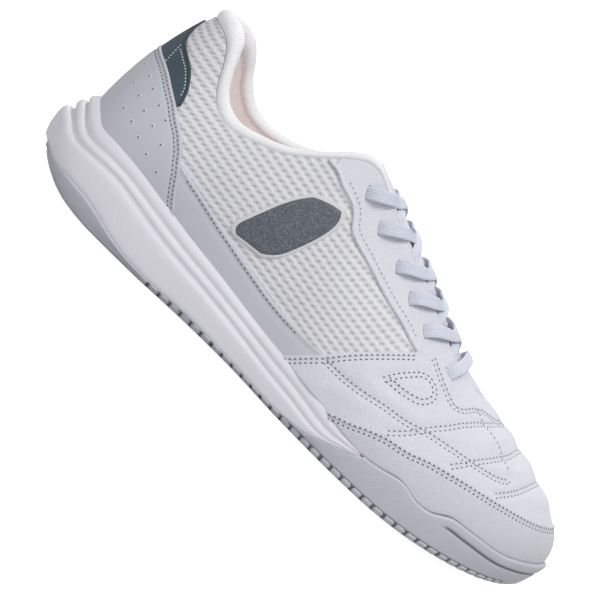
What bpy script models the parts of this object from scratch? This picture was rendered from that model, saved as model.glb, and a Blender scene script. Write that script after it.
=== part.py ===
"""Indoor soccer shoe, right foot: sole, hollow upper, suede overlays, tongue, collar and laces.

Metres, +X toward the toe, +Y toward the inner (medial) side, +Z up. The shoe stands on its sole at
Z = 0. Twenty-four ribs run from the sole's edge to the shoe's top line: rib 0 at the heel, ribs 1 to
11 on the outer (lateral) side, rib 12 at the toe and ribs 13 to 23 on the inner side. A place on the
upper is (rib, share), the share running from 0 at the sole to 1 at the top line.
"""

import bpy
import bmesh
import numpy as np

# Driving sizes of the shoe
LENGTH = 0.288
BALL_WIDTH = 0.104
HEEL_WIDTH = 0.072
HEEL_HEIGHT = 0.1075
INSTEP_HEIGHT = 0.1055
SOLE_HEIGHT = 0.0414
TOE_SPRING = 0.011

# Walls and thicknesses
UPPER_WALL = 0.0022
COLLAR_WALL = 0.0038
RUBBER_WALL = 0.0022
RUBBER_FLOOR = 0.0034
RIM_WALL = 0.0012
FOOT_TUCK = 0.0012
INSOLE_THICKNESS = 0.0042
OVERLAY_THICKNESS = 0.0011
TONGUE_THICKNESS = 0.0034
ROLL_HEIGHT = 0.0080
ROLL_DEPTH = 0.0090
LACE_WIDTH = 0.0058
LACE_THICKNESS = 0.0013

# Clearances
GAP = 0.0003
OVERLAY_GAP = 0.0006
LACE_GAP = 0.0005

# Lugs along the edge of the sole
LUG_PITCH = 0.0061
LUG_SHARE = 0.78
LUG_HEIGHT = 0.0024
LUG_DEPTH = 0.0013
LUGS_START = 0.27
LUGS_END = 0.975

RIBS = 24
TOE_RIB = 12

# Outline of the sole seen from above. Columns: rib, x as a share of LENGTH, y as a share of the width there
OUTLINE = (
    (0, 0.000, 0.000), (1, 0.025, -0.243), (2, 0.078, -0.412), (3, 0.155, -0.482),
    (4, 0.250, -0.492), (5, 0.350, -0.452), (6, 0.450, -0.418), (7, 0.550, -0.445),
    (8, 0.650, -0.486), (9, 0.750, -0.490), (10, 0.852, -0.420), (11, 0.950, -0.212),
    (12, 1.000, 0.085), (13, 0.955, 0.338), (14, 0.862, 0.450), (15, 0.762, 0.468),
    (16, 0.660, 0.420), (17, 0.555, 0.340), (18, 0.450, 0.292), (19, 0.350, 0.350),
    (20, 0.250, 0.445), (21, 0.155, 0.482), (22, 0.078, 0.412), (23, 0.025, 0.243),
)

# Height of the rubber's lower and upper edges from the heel (0) round either side to the toe (12).
# Columns: rib, lower edge as a share of TOE_SPRING, upper edge as a share of SOLE_HEIGHT
RUBBER_EDGES = (
    (0.0, 0.10, 0.338), (0.8, 0.07, 0.330), (1.4, 0.03, 0.280), (2.0, 0.01, 0.264),
    (2.9, 0.00, 0.217), (3.3, 0.00, 0.150), (3.7, 0.00, 0.092), (4.1, 0.00, 0.072),
    (5.0, 0.06, 0.097), (6.0, 0.06, 0.078), (7.0, 0.00, 0.074), (7.4, 0.00, 0.115),
    (8.0, 0.00, 0.276), (8.4, 0.01, 0.372), (8.6, 0.02, 0.400), (8.95, 0.05, 0.450),
    (9.35, 0.12, 0.400), (9.55, 0.17, 0.415), (9.85, 0.26, 0.512), (10.2, 0.37, 0.529),
    (10.8, 0.62, 0.543), (11.2, 0.79, 0.590), (11.6, 0.93, 0.642), (12.0, 1.00, 0.676),
)

# Where the bare rubber's wave starts: behind it the foam's side shows above the rubber
FOAM_END_RIB = 8.28
FOAM_END_STEP = 0.012
FOAM_EDGE = 0.0008

# The cup that holds the upper. Columns: rib, rim height and floor height as shares of SOLE_HEIGHT,
# and how far the upper's foot lies in from the outline, as a share of BALL_WIDTH
CUP = (
    (0.0, 1.000, 0.700, 0.098), (0.7, 0.975, 0.698, 0.090), (1.3, 0.915, 0.694, 0.074),
    (1.65, 0.866, 0.690, 0.064), (2.4, 0.862, 0.684, 0.057), (3.0, 0.838, 0.672, 0.055),
    (3.6, 0.775, 0.630, 0.053), (4.0, 0.722, 0.585, 0.052), (5.0, 0.620, 0.480, 0.050),
    (6.0, 0.520, 0.385, 0.047), (7.0, 0.466, 0.305, 0.043), (7.4, 0.438, 0.280, 0.042),
    (7.65, 0.404, 0.268, 0.041), (8.4, 0.372, 0.245, 0.040), (9.0, 0.425, 0.242, 0.040),
    (9.4, 0.376, 0.252, 0.040), (9.8, 0.470, 0.285, 0.040), (10.2, 0.500, 0.320, 0.040),
    (10.8, 0.518, 0.385, 0.040), (11.4, 0.590, 0.450, 0.040), (12.0, 0.650, 0.483, 0.040),
)

# Side of the sole. Columns: rib, how far the bottom edge and the rubber's upper edge lie in from the
# outline (shares of BALL_WIDTH), and the height of the foam's two grooves (shares of its visible side)
SIDE = (
    (0.0, 0.135, 0.028, 0.60, 0.80), (0.7, 0.125, 0.024, 0.58, 0.76), (1.4, 0.096, 0.018, 0.52, 0.69),
    (2.0, 0.070, 0.014, 0.55, 0.70), (3.0, 0.046, 0.010, 0.62, 0.75), (4.0, 0.034, 0.008, 0.63, 0.77),
    (5.0, 0.030, 0.006, 0.59, 0.75), (5.7, 0.030, 0.006, 0.565, 0.75), (6.35, 0.029, 0.006, 0.50, 0.706),
    (7.0, 0.028, 0.006, 0.43, 0.65), (7.4, 0.028, 0.005, 0.29, 0.54), (7.7, 0.028, 0.005, 0.16, 0.44),
    (8.4, 0.028, 0.005, 0.12, 0.42), (10.0, 0.032, 0.005, 0.12, 0.42), (11.0, 0.045, 0.006, 0.12, 0.42),
    (12.0, 0.058, 0.008, 0.12, 0.42),
)

# Rings of the foam's visible side. Columns: height between the marks named, share between them,
# and the inset as a share of the rim's inset
FOAM_RINGS = (
    ("rubber", 0.00, None), ("rubber", 0.60, 0.00), ("rubber", 0.90, 0.10), ("groove", 0.00, 0.40),
    ("groove", 0.50, 0.34), ("crease", 0.00, 0.66), ("crease", 0.40, 0.60), ("crease", 0.85, 0.76),
    ("crease", 1.00, 0.96),
)

# Top line: the seam under the collar's roll and the edge of the throat.
# Columns: rib, x as a share of LENGTH, y as a share of BALL_WIDTH, z as a share of the height there
TOP_LINE = (
    (0.0, 0.0740, 0.000, 0.933), (0.6, 0.0868, -0.102, 0.929), (1.1, 0.1042, -0.158, 0.920),
    (1.5, 0.1215, -0.190, 0.889), (1.9, 0.1354, -0.212, 0.834), (2.3, 0.1510, -0.231, 0.762),
    (2.8, 0.1736, -0.250, 0.702), (3.2, 0.1979, -0.262, 0.683), (3.6, 0.2222, -0.268, 0.692),
    (4.0, 0.2500, -0.271, 0.719), (4.5, 0.2917, -0.264, 0.771), (5.0, 0.3333, -0.243, 0.856),
    (5.5, 0.3681, -0.217, 0.940), (5.9, 0.3924, -0.195, 0.975), (6.2, 0.4125, -0.177, 0.973),
    (6.5, 0.4340, -0.157, 0.944), (7.0, 0.4774, -0.133, 0.886), (8.0, 0.5625, -0.125, 0.780),
    (9.0, 0.6389, -0.115, 0.676), (10.0, 0.7014, -0.096, 0.607), (11.0, 0.7378, -0.048, 0.583),
    (12.0, 0.7517, 0.034, 0.580), (13.0, 0.7378, 0.115, 0.583), (14.0, 0.7014, 0.165, 0.607),
    (15.0, 0.6389, 0.181, 0.676), (16.0, 0.5625, 0.188, 0.777), (17.0, 0.4774, 0.192, 0.876),
    (17.5, 0.4340, 0.206, 0.921), (17.8, 0.4125, 0.219, 0.933), (18.1, 0.3924, 0.231, 0.925),
    (18.5, 0.3681, 0.244, 0.882), (19.0, 0.3333, 0.260, 0.809), (19.5, 0.2917, 0.273, 0.753),
    (20.0, 0.2500, 0.277, 0.723), (20.4, 0.2222, 0.273, 0.719), (20.8, 0.1979, 0.265, 0.733),
    (21.2, 0.1736, 0.252, 0.777), (21.7, 0.1510, 0.233, 0.844), (22.1, 0.1354, 0.213, 0.880),
    (22.5, 0.1215, 0.190, 0.904), (22.9, 0.1042, 0.158, 0.921), (23.4, 0.0868, 0.102, 0.929),
)

# Bend of each rib. Columns: rib, lower handle out (share of BALL_WIDTH) and up (share of the rib's
# height), upper handle out and down in the same shares
BENDS = (
    (0, 0.021, 0.30, 0.089, 0.33), (1, 0.032, 0.31, 0.072, 0.34), (2, 0.044, 0.32, 0.060, 0.34),
    (3, 0.050, 0.36, 0.060, 0.34), (4, 0.050, 0.34, 0.060, 0.34), (5, 0.040, 0.33, 0.068, 0.36),
    (6, 0.036, 0.31, 0.090, 0.38), (7, 0.036, 0.30, 0.135, 0.38), (8, 0.038, 0.30, 0.175, 0.36),
    (9, 0.042, 0.33, 0.230, 0.31), (10, 0.050, 0.40, 0.290, 0.25), (11, 0.062, 0.49, 0.380, 0.24),
    (12, 0.067, 0.55, 0.438, 0.24), (13, 0.062, 0.50, 0.380, 0.23), (14, 0.052, 0.41, 0.290, 0.23),
    (15, 0.046, 0.34, 0.240, 0.28), (16, 0.044, 0.31, 0.190, 0.34), (17, 0.044, 0.31, 0.140, 0.38),
    (18, 0.044, 0.32, 0.090, 0.38), (19, 0.046, 0.34, 0.064, 0.36), (20, 0.050, 0.34, 0.060, 0.34),
    (21, 0.050, 0.35, 0.060, 0.34), (22, 0.044, 0.32, 0.060, 0.34), (23, 0.032, 0.31, 0.072, 0.34),
)

# Edges of the overlays, the same on both sides of the shoe. Columns: rib counted from the heel, share
GUARD_TOP = (
    (7.46, 0.090), (7.60, 0.120), (7.90, 0.170), (8.10, 0.210), (8.48, 0.270), (8.86, 0.305),
    (9.26, 0.355), (9.64, 0.380), (10.02, 0.395), (10.38, 0.400), (10.76, 0.400), (11.26, 0.392),
    (11.66, 0.392), (12.00, 0.390),
)
VAMP_REAR = (
    (6.40, 0.070), (6.72, 0.190), (6.94, 0.268), (7.18, 0.358), (7.44, 0.445), (7.72, 0.530),
    (8.00, 0.610), (8.28, 0.687), (8.46, 0.735),
)
EYESTAY_FOOT = (
    (5.46, 0.915), (5.68, 0.862), (5.92, 0.832), (6.12, 0.810), (6.22, 0.788), (6.32, 0.755),
    (6.50, 0.745), (6.88, 0.750), (7.62, 0.750), (8.00, 0.755), (8.36, 0.746), (8.46, 0.747),
    (8.70, 0.795), (8.92, 0.842), (9.02, 0.836), (9.26, 0.800), (9.42, 0.775), (9.56, 0.750),
    (9.74, 0.770), (10.14, 0.850), (10.72, 0.905), (12.00, 0.920),
)
COUNTER_TOP = (
    (0.00, 0.655), (0.76, 0.640), (1.26, 0.632), (1.66, 0.634), (2.00, 0.648), (2.26, 0.664),
    (2.66, 0.650), (2.92, 0.620), (3.20, 0.535), (3.30, 0.482), (3.48, 0.380), (3.64, 0.262),
    (3.84, 0.125), (3.93, 0.060),
)
TAB_TOP = (
    (0.00, 0.940), (0.08, 0.935), (0.14, 0.895), (0.30, 0.845), (0.52, 0.800), (0.80, 0.772),
    (1.18, 0.757), (1.50, 0.755), (1.84, 0.752), (2.10, 0.735), (2.24, 0.705), (2.30, 0.682),
)
RAND_TOP = (
    (3.40, 0.447), (3.62, 0.425), (3.98, 0.388), (4.34, 0.340), (4.68, 0.294), (5.02, 0.253),
    (5.36, 0.225), (5.70, 0.207), (6.04, 0.205), (6.40, 0.220), (6.94, 0.262),
)

# Side patch: rows of share with the ribs of its rear and front edges
PATCH_EDGES = ((0.34, 4.56, 5.38), (0.47, 4.70, 5.62), (0.62, 4.90, 5.92), (0.76, 5.16, 6.14))

# Smallest height of an overlay, as a share of the rib, and the gap between overlays in the same shares
SLIVER = 0.012
EDGE_GAP = 0.010

# Lacing. Columns: rib and share of the eyelet, rib where its lace passes over the throat's edge
EYELETS = (
    (6.22, 0.910, 6.64), (6.80, 0.890, 7.00), (7.46, 0.892, 7.62), (7.96, 0.875, 8.12),
    (8.52, 0.862, 8.66), (9.38, 0.862, 9.26),
)
LACE_REACH = 0.62

# Height of a lace's middle over the upper, and the way a lace faces where it crosses the tongue
LACE_LIFT = OVERLAY_GAP + OVERLAY_THICKNESS + LACE_GAP + LACE_THICKNESS / 2
LACE_FACE = (0.35, 0.0, 0.94)

# Rib where the collar's roll ends on each side
COLLAR_END = 6.0

# Ribs of the hollow pieces' stations and rows between the sole and the top line
STATIONS = 54
UPPER_ROWS = 8


def rows_through(rows, closed_after=None):
    """A smooth curve through table rows; the first column is the place, the others are values."""
    table = np.array(rows, dtype=float)
    if closed_after is not None:
        before = table[-3:].copy()
        before[:, 0] -= closed_after
        after = table[:3].copy()
        after[:, 0] += closed_after
        table = np.vstack([before, table, after])
    places = table[:, 0]
    values = table[:, 1:]
    steps = np.diff(places)[:, None]
    rates = np.diff(values, axis=0) / steps
    slopes = np.zeros_like(values)
    slopes[1:-1] = (steps[1:] * rates[:-1] + steps[:-1] * rates[1:]) / (steps[1:] + steps[:-1])
    if closed_after is None and len(places) > 2:
        slopes[0] = rates[0]
        slopes[-1] = rates[-1]

    def at(place):
        place = np.atleast_1d(np.asarray(place, dtype=float))
        if closed_after is not None:
            place = np.mod(place, closed_after)
        place = np.clip(place, places[0], places[-1])
        left = np.clip(np.searchsorted(places, place, side="right") - 1, 0, len(places) - 2)
        step = steps[left]
        t = ((place - places[left])[:, None]) / step
        return (
            values[left] * (1 + 2 * t) * (1 - t) ** 2
            + values[left + 1] * t**2 * (3 - 2 * t)
            + slopes[left] * step * t * (1 - t) ** 2
            - slopes[left + 1] * step * t**2 * (1 - t)
        )

    return at


def mirrored(rows):
    """A heel-to-toe table made into a closed one, the same on both sides."""
    back = [(RIBS - row[0],) + tuple(row[1:]) for row in reversed(rows[1:-1])]
    return tuple(rows) + tuple(back)


outline_shares = rows_through(OUTLINE, RIBS)
rubber_shares = rows_through(mirrored(RUBBER_EDGES), RIBS)
cup_shares = rows_through(mirrored(CUP), RIBS)
side_shares = rows_through(mirrored(SIDE), RIBS)
top_shares = rows_through(TOP_LINE, RIBS)
bend_shares = rows_through(BENDS, RIBS)


def ease(value, start, end):
    t = np.clip((value - start) / (end - start), 0, 1)
    return t * t * (3 - 2 * t)


def outline(rib):
    """Plan points of the sole's widest edge."""
    x, y = outline_shares(rib).T
    width = HEEL_WIDTH + (BALL_WIDTH - HEEL_WIDTH) * ease(x, 0.22, 0.62)
    return np.stack([x * LENGTH, y * width], axis=1)


def outward(rib):
    """Unit normals of the outline in plan, pointing out."""
    step = 0.05
    ahead = outline(np.asarray(rib) + step) - outline(np.asarray(rib) - step)
    normal = np.stack([ahead[:, 1], -ahead[:, 0]], axis=1)
    return normal / np.linalg.norm(normal, axis=1)[:, None]


def edge_point(rib, inset, height):
    """A point at a height, set in from the outline."""
    rib = np.atleast_1d(np.asarray(rib, dtype=float))
    plan = outline(rib) - outward(rib) * np.broadcast_to(inset, rib.shape)[:, None]
    return np.column_stack([plan, np.broadcast_to(height, rib.shape)])


def rubber_bottom(rib):
    return rubber_shares(rib)[:, 0] * TOE_SPRING


def rubber_top(rib):
    return rubber_shares(rib)[:, 1] * SOLE_HEIGHT


def rim_height(rib):
    return cup_shares(rib)[:, 0] * SOLE_HEIGHT


def floor_height(rib):
    return cup_shares(rib)[:, 1] * SOLE_HEIGHT


def foot_inset(rib):
    """How far the upper's outer face lies in from the outline at the cup's floor."""
    return cup_shares(rib)[:, 2] * BALL_WIDTH + FOOT_TUCK


def plate_height(rib):
    """Top of the rubber floor, kept under the rubber's own edge."""
    return np.minimum(rubber_bottom(rib) + RUBBER_FLOOR, rubber_top(rib) - GAP)


def top_point(rib):
    """Points of the top line."""
    x, y, z = top_shares(rib).T
    height = HEEL_HEIGHT + (INSTEP_HEIGHT - HEEL_HEIGHT) * ease(x, 0.12, 0.30)
    return np.column_stack([x * LENGTH, y * BALL_WIDTH, z * height])


def foot_point(rib):
    """Points where the upper stands on the cup's floor."""
    return edge_point(rib, foot_inset(rib), floor_height(rib) + GAP)


def upper_point(rib, share):
    """Points of the upper's outer face."""
    rib, share = np.broadcast_arrays(np.asarray(rib, dtype=float), np.asarray(share, dtype=float))
    rib = rib.ravel()
    share = share.ravel()[:, None]
    foot = foot_point(rib)
    top = top_point(rib)
    low_out, low_up, high_out, high_down = bend_shares(rib).T
    rise = (top - foot)[:, 2]
    normal = outward(rib)
    away = (foot - top)[:, :2] + normal * 0.12 * BALL_WIDTH
    away = away / np.linalg.norm(away, axis=1)[:, None]
    low = foot + np.column_stack([normal * (low_out * BALL_WIDTH)[:, None], low_up * rise])
    high = top + np.column_stack([away * (high_out * BALL_WIDTH)[:, None], -high_down * rise])
    return (
        foot * (1 - share) ** 3
        + low * 3 * share * (1 - share) ** 2
        + high * 3 * share**2 * (1 - share)
        + top * share**3
    )


def upper_normal(rib, share):
    """Unit normals of the upper's outer face."""
    rib, share = np.broadcast_arrays(np.asarray(rib, dtype=float), np.asarray(share, dtype=float))
    rib = rib.ravel()
    share = share.ravel()
    around = upper_point(rib + 0.04, share) - upper_point(rib - 0.04, share)
    up = upper_point(rib, share + 0.01) - upper_point(rib, share - 0.01)
    normal = np.cross(around, up)
    return normal / np.linalg.norm(normal, axis=1)[:, None]


def lifted(rib, share, lift):
    """Points of the upper moved out (or in, if negative) along its normal."""
    lift = np.broadcast_to(np.asarray(lift, dtype=float), np.broadcast(rib, share).shape).ravel()
    return upper_point(rib, share) + upper_normal(rib, share) * lift[:, None]


def share_at_height(rib, height):
    """Share of each rib at which the upper reaches a height."""
    rib = np.atleast_1d(np.asarray(rib, dtype=float))
    low = np.zeros(rib.shape)
    high = np.full(rib.shape, 0.6)
    for _ in range(24):
        middle = (low + high) / 2
        under = upper_point(rib, middle)[:, 2] < height
        low = np.where(under, middle, low)
        high = np.where(under, high, middle)
    return high


def foam_shows(rib):
    return from_heel(rib) <= FOAM_END_RIB + FOAM_END_STEP / 2


def foam_rim(rib):
    """Top of the foam: the sole's visible rim, or a low shelf behind the rubber toward the toe."""
    shown = np.maximum(rim_height(rib), rubber_top(rib) + GAP + FOAM_EDGE)
    return np.where(foam_shows(rib), shown, np.minimum(rim_height(rib), rubber_top(rib)) - 2 * GAP)


def rubber_rim(rib):
    """Top of the rubber's wall."""
    return np.where(foam_shows(rib), rubber_top(rib), np.maximum(rubber_top(rib), rim_height(rib)))


def rim_share(rib):
    """Share of each rib that clears the rim of the sole."""
    return share_at_height(rib, np.maximum(foam_rim(rib), rubber_rim(rib)) + 3 * GAP)


def rim_inner_inset(rib, height):
    """How far in from the outline the cup's wall stands at a height, clear of the upper."""
    face = upper_point(rib, share_at_height(rib, height))[:, :2]
    inset = ((outline(rib) - face) * outward(rib)).sum(axis=1)
    return inset - GAP


def plan_middle():
    """Middle of the sole's outline in plan, the place of the frame's origin."""
    plan = outline(even_stations())
    return np.array([LENGTH / 2, (plan[:, 1].min() + plan[:, 1].max()) / 2, 0.0])


def make_object(name, points, faces, colour, roughness=0.7, metallic=0.0):
    """A mesh object with its own material, faces turned out."""
    mesh = bpy.data.meshes.new(name)
    placed = np.asarray(points) - plan_middle()
    mesh.from_pydata([tuple(p) for p in placed], [], [tuple(int(i) for i in f) for f in faces])
    material = bpy.data.materials.new(name)
    material.use_nodes = True
    shader = material.node_tree.nodes["Principled BSDF"]
    shader.inputs["Base Color"].default_value = (*colour, 1.0)
    shader.inputs["Roughness"].default_value = roughness
    shader.inputs["Metallic"].default_value = metallic
    mesh.materials.append(material)
    shaped = bmesh.new()
    shaped.from_mesh(mesh)
    bmesh.ops.recalc_face_normals(shaped, faces=shaped.faces)
    shaped.to_mesh(mesh)
    shaped.free()
    mesh.shade_smooth()
    mesh.set_sharp_from_angle(angle=0.7)
    made = bpy.data.objects.new(name, mesh)
    SHOE.objects.link(made)
    return made


def band_faces(first, second, closed):
    """Quads between two rings given as index lists."""
    count = len(first)
    last = count if closed else count - 1
    return [
        (first[i], first[(i + 1) % count], second[(i + 1) % count], second[i]) for i in range(last)
    ]


def ladder_faces(ring, middle):
    """Faces closing a heel-to-toe ring, with a middle point for each pair of stations."""
    half = len(ring) // 2
    lateral = ring[: half + 1]
    medial = [ring[0]] + ring[: half - 1 : -1]
    spine = [ring[0]] + middle + [ring[half]]
    faces = []
    for side in (lateral, medial):
        for i in range(half):
            corners = [side[i], side[i + 1], spine[i + 1], spine[i]]
            face = [c for k, c in enumerate(corners) if c not in corners[:k]]
            if side is medial:
                face.reverse()
            faces.append(face)
    return faces


def close_end(points, faces, ring, crown=0.0):
    """Close a heel-to-toe ring with a spine of middle points, raised by the crown."""
    count = len(ring)
    spine = []
    for i in range(1, count // 2):
        spine.append(len(points))
        middle = (points[ring[i]] + points[ring[count - i]]) / 2
        middle[2] += crown
        points.append(middle)
    faces += ladder_faces(ring, spine)


def stacked_rings(name, rings, low_crown, high_crown, colour, roughness):
    """A closed solid from rings running bottom to top, its two ends closed by ladders."""
    count = len(rings[0])
    points = [p for ring in rings for p in ring]
    indices = [list(range(k * count, (k + 1) * count)) for k in range(len(rings))]
    faces = []
    for low, high in zip(indices[:-1], indices[1:]):
        faces += band_faces(low, high, True)
    close_end(points, faces, indices[0], low_crown)
    close_end(points, faces, indices[-1], high_crown)
    return make_object(name, points, faces, colour, roughness)


def even_stations():
    return np.arange(STATIONS) * RIBS / STATIONS


def foam_stations():
    """Stations of the foam, doubled where its visible side ends."""
    start = FOAM_END_RIB
    side = even_stations()[1 : STATIONS // 2]
    side = side[np.abs(side - start) > 0.1]
    side = np.sort(np.concatenate([side, [start, start + FOAM_END_STEP]]))
    return np.concatenate([[0], side, [TOE_RIB], RIBS - side[::-1]])


def from_heel(rib):
    """The rib number counted from the heel on either side."""
    return np.minimum(rib, RIBS - rib)


def make_midsole():
    rib = foam_stations()
    shows = foam_shows(rib)
    hidden = RUBBER_WALL + GAP
    side = side_shares(rib)
    edge_inset = side[:, 1] * BALL_WIDTH
    bottom = rubber_top(rib) + GAP
    rim = foam_rim(rib)
    inner_inset = rim_inner_inset(rib, rim)
    rim_inset = inner_inset - RIM_WALL
    bottom = np.where(shows, bottom, rim - 0.0022)
    marks = {
        "rubber": (bottom, bottom + (rim - bottom) * side[:, 2]),
        "groove": (bottom + (rim - bottom) * side[:, 2], bottom + (rim - bottom) * side[:, 3]),
        "crease": (bottom + (rim - bottom) * side[:, 3], rim),
    }
    plate = plate_height(rib) + GAP
    rings = [
        edge_point(rib, hidden + 0.0022, plate),
        edge_point(rib, hidden, np.maximum(bottom, plate + 0.0002)),
    ]
    for name, share, inset_share in FOAM_RINGS:
        low, high = marks[name]
        height = low + (high - low) * share
        inset = edge_inset if inset_share is None else rim_inset * inset_share
        tuck = (height - bottom) / (rim - bottom)
        inset = np.where(shows, inset, hidden + 0.0002 * tuck + 0.0001)
        height = np.where(shows, height, height + 0.0001)
        rings.append(edge_point(rib, inset, height))
    rings.append(edge_point(rib, inner_inset, rim))
    rings.append(edge_point(rib, foot_inset(rib) - GAP, floor_height(rib)))
    return stacked_rings("midsole", rings, 0.0, 0.0, (0.80, 0.79, 0.81), 0.55)


def lug_stations():
    """Stations of the rubber with its lugs, and which of them lie in a gap between lugs."""
    fine = np.linspace(0, TOE_RIB, 1201)
    plan = outline(fine)
    run = np.concatenate([[0], np.cumsum(np.linalg.norm(np.diff(plan, axis=0), axis=1))])
    along = plan[:, 0] / LENGTH
    start = np.interp(LUGS_START, along, run)
    end = np.interp(LUGS_END, along, run)
    count = int((end - start) / LUG_PITCH)
    places = []
    for k in range(count):
        begin = start + k * LUG_PITCH
        places.append((begin, 0))
        places.append((begin + LUG_PITCH * LUG_SHARE, 0))
        places.append((begin + LUG_PITCH * (1 + LUG_SHARE) / 2, 1))
    for fixed in np.arange(1, int(start / 0.009) + 1) * 0.009:
        if fixed < start - 0.003:
            places.append((fixed, 0))
    last = start + count * LUG_PITCH
    for fixed in np.linspace(last, run[-1], 4)[:-1]:
        places.append((fixed, 0))
    step_run = np.interp(FOAM_END_RIB, fine, run)
    places = [p for p in places if abs(p[0] - step_run) > 0.0016]
    places += [(step_run + 0.0004, 0), (step_run + 0.0010, 0)]
    places.sort()
    side = np.interp([p[0] for p in places], run, fine)
    gaps = np.array([p[1] for p in places], dtype=float)
    rib = np.concatenate([[0], side, [TOE_RIB], RIBS - side[::-1]])
    return rib, np.concatenate([[0], gaps, [0], gaps[::-1]])


def fan_faces(fine, coarse, kept):
    """Faces between a ring with every station and one with only the kept stations."""
    faces = []
    count = len(fine)
    for k, start in enumerate(kept):
        end = kept[(k + 1) % len(kept)]
        steps = (end - start) % count
        for i in range(steps):
            a = fine[(start + i) % count]
            b = fine[(start + i + 1) % count]
            faces.append((a, b, coarse[k]))
        faces.append((fine[end], coarse[(k + 1) % len(coarse)], coarse[k]))
    return faces


def make_outsole():
    rib, gap = lug_stations()
    count = len(rib)
    half = count // 2
    side_kept = [i for i in range(1, half) if gap[i] == 0 and gap[i - 1] == 0 and abs(rib[i] - rib[i - 1]) > 0.02]
    side_kept = [i for i in side_kept if gap[i + 1] > 0] or side_kept
    plain = [i for i in range(1, half) if gap[i] == 0 and i not in side_kept and gap[i - 1] == 0 and gap[i + 1] == 0]
    step = np.flatnonzero(np.abs(from_heel(rib) - FOAM_END_RIB) < 0.06)
    side_kept = sorted(set(side_kept + plain + [int(i) for i in step if i < half]))
    kept = [0] + side_kept + [half] + [count - i for i in reversed(side_kept)]

    side = side_shares(rib)
    bottom_inset = side[:, 0] * BALL_WIDTH
    top_inset = side[:, 1] * BALL_WIDTH
    bottom = rubber_bottom(rib)
    top = rubber_rim(rib)
    rise = top - bottom
    lug_top = bottom + np.minimum(LUG_HEIGHT, rise * 0.55)
    plate = plate_height(rib)
    inner = np.maximum(np.minimum(top - 0.0002, floor_height(rib) - 0.001), plate + 0.0001)
    fine_rings = [
        edge_point(rib, bottom_inset + gap * LUG_DEPTH, bottom + gap * (lug_top - bottom) * 0.8),
        edge_point(rib, bottom_inset * 0.62 + top_inset * 0.2, lug_top),
    ]
    coarse_rings = [
        edge_point(rib, bottom_inset + 0.0045, bottom),
        edge_point(rib, top_inset * 0.3, bottom + rise * 0.80),
        edge_point(rib, top_inset + 0.0001, top),
        edge_point(rib, RUBBER_WALL, top - 0.0001),
        edge_point(rib, RUBBER_WALL + 0.0006, inner - 0.0001),
        edge_point(rib, RUBBER_WALL + 0.0022, plate),
    ]
    coarse_rings = [ring[kept] for ring in coarse_rings]
    points = []
    indices = []
    for ring in fine_rings + coarse_rings:
        indices.append(list(range(len(points), len(points) + len(ring))))
        points += list(ring)
    lug_edge, lug_upper, tread, bulge, lip, wall, well, floor = indices
    faces = [tuple(reversed(f)) for f in fan_faces(lug_edge, tread, kept)]
    faces += band_faces(lug_edge, lug_upper, True)
    faces += fan_faces(lug_upper, bulge, kept)
    for low, high in ((bulge, lip), (lip, wall), (wall, well), (well, floor)):
        faces += band_faces(low, high, True)
    close_end(points, faces, tread)
    close_end(points, faces, floor)
    return make_object("outsole", points, faces, (0.52, 0.55, 0.60), 0.6)


def make_insole():
    rib = even_stations()
    inset = foot_inset(rib) + UPPER_WALL + 2 * GAP
    floor = floor_height(rib) + GAP
    rings = [
        edge_point(rib, inset, floor),
        edge_point(rib, inset, floor + INSOLE_THICKNESS * 0.8),
        edge_point(rib, inset + 0.0012, floor + INSOLE_THICKNESS),
    ]
    return stacked_rings("insole", rings, 0.0, -0.0006, (0.72, 0.66, 0.65), 0.85)


def upper_wall(share):
    """Thickness of the upper: cloth below, padded toward the collar."""
    return UPPER_WALL + (COLLAR_WALL - UPPER_WALL) * ease(share, 0.55, 0.95)


def throat_wall(rib, share):
    """The padding is only round the collar, not along the throat."""
    padded = 1 - ease(from_heel(rib), 5.4, 7.0)
    return UPPER_WALL + (upper_wall(share) - UPPER_WALL) * padded


def make_upper():
    rib = even_stations()
    shares = np.linspace(0, 1, UPPER_ROWS + 1)
    rings = [lifted(rib, share, 0.0) for share in shares]
    rings += [lifted(rib, share, -throat_wall(rib, share)) for share in shares[::-1]]
    count = len(rib)
    points = np.vstack(rings)
    faces = []
    for k in range(len(rings)):
        low = list(range(k * count, (k + 1) * count))
        high_ring = (k + 1) % len(rings)
        high = list(range(high_ring * count, (high_ring + 1) * count))
        faces += band_faces(low, high, True)
    return make_object("upper", points, faces, (0.78, 0.78, 0.77), 0.85)


def slab(name, outer, inner, colour, roughness=0.8):
    """A closed slab between two grids of points with the same rows and columns."""
    rows, columns = outer.shape[:2]
    points = np.vstack([outer.reshape(-1, 3), inner.reshape(-1, 3)])
    offset = rows * columns
    faces = []
    for i in range(rows - 1):
        for j in range(columns - 1):
            a = i * columns + j
            corners = (a, a + 1, a + columns + 1, a + columns)
            faces.append(corners)
            faces.append(tuple(c + offset for c in reversed(corners)))
    border = [j for j in range(columns)]
    border += [i * columns + columns - 1 for i in range(1, rows)]
    border += [(rows - 1) * columns + j for j in range(columns - 2, -1, -1)]
    border += [i * columns for i in range(rows - 2, 0, -1)]
    for k, a in enumerate(border):
        b = border[(k + 1) % len(border)]
        faces.append((a, a + offset, b + offset, b))
    return make_object(name, points, faces, colour, roughness)


def overlay(name, rib_grid, share_grid, colour, roughness=0.8):
    """A piece laid on the upper over a grid of (rib, share) places."""
    shape = rib_grid.shape + (3,)
    outer = lifted(rib_grid, share_grid, OVERLAY_GAP + OVERLAY_THICKNESS).reshape(shape)
    inner = lifted(rib_grid, share_grid, OVERLAY_GAP).reshape(shape)
    return slab(name, outer, inner, colour, roughness)


def strip_grid(rib, low, high, rows):
    """Places between a lower and an upper edge, given along the same ribs."""
    t = np.linspace(0, 1, rows)[:, None]
    ribs = np.broadcast_to(rib, (rows, len(rib)))
    return ribs, low + (high - low) * t


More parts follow.
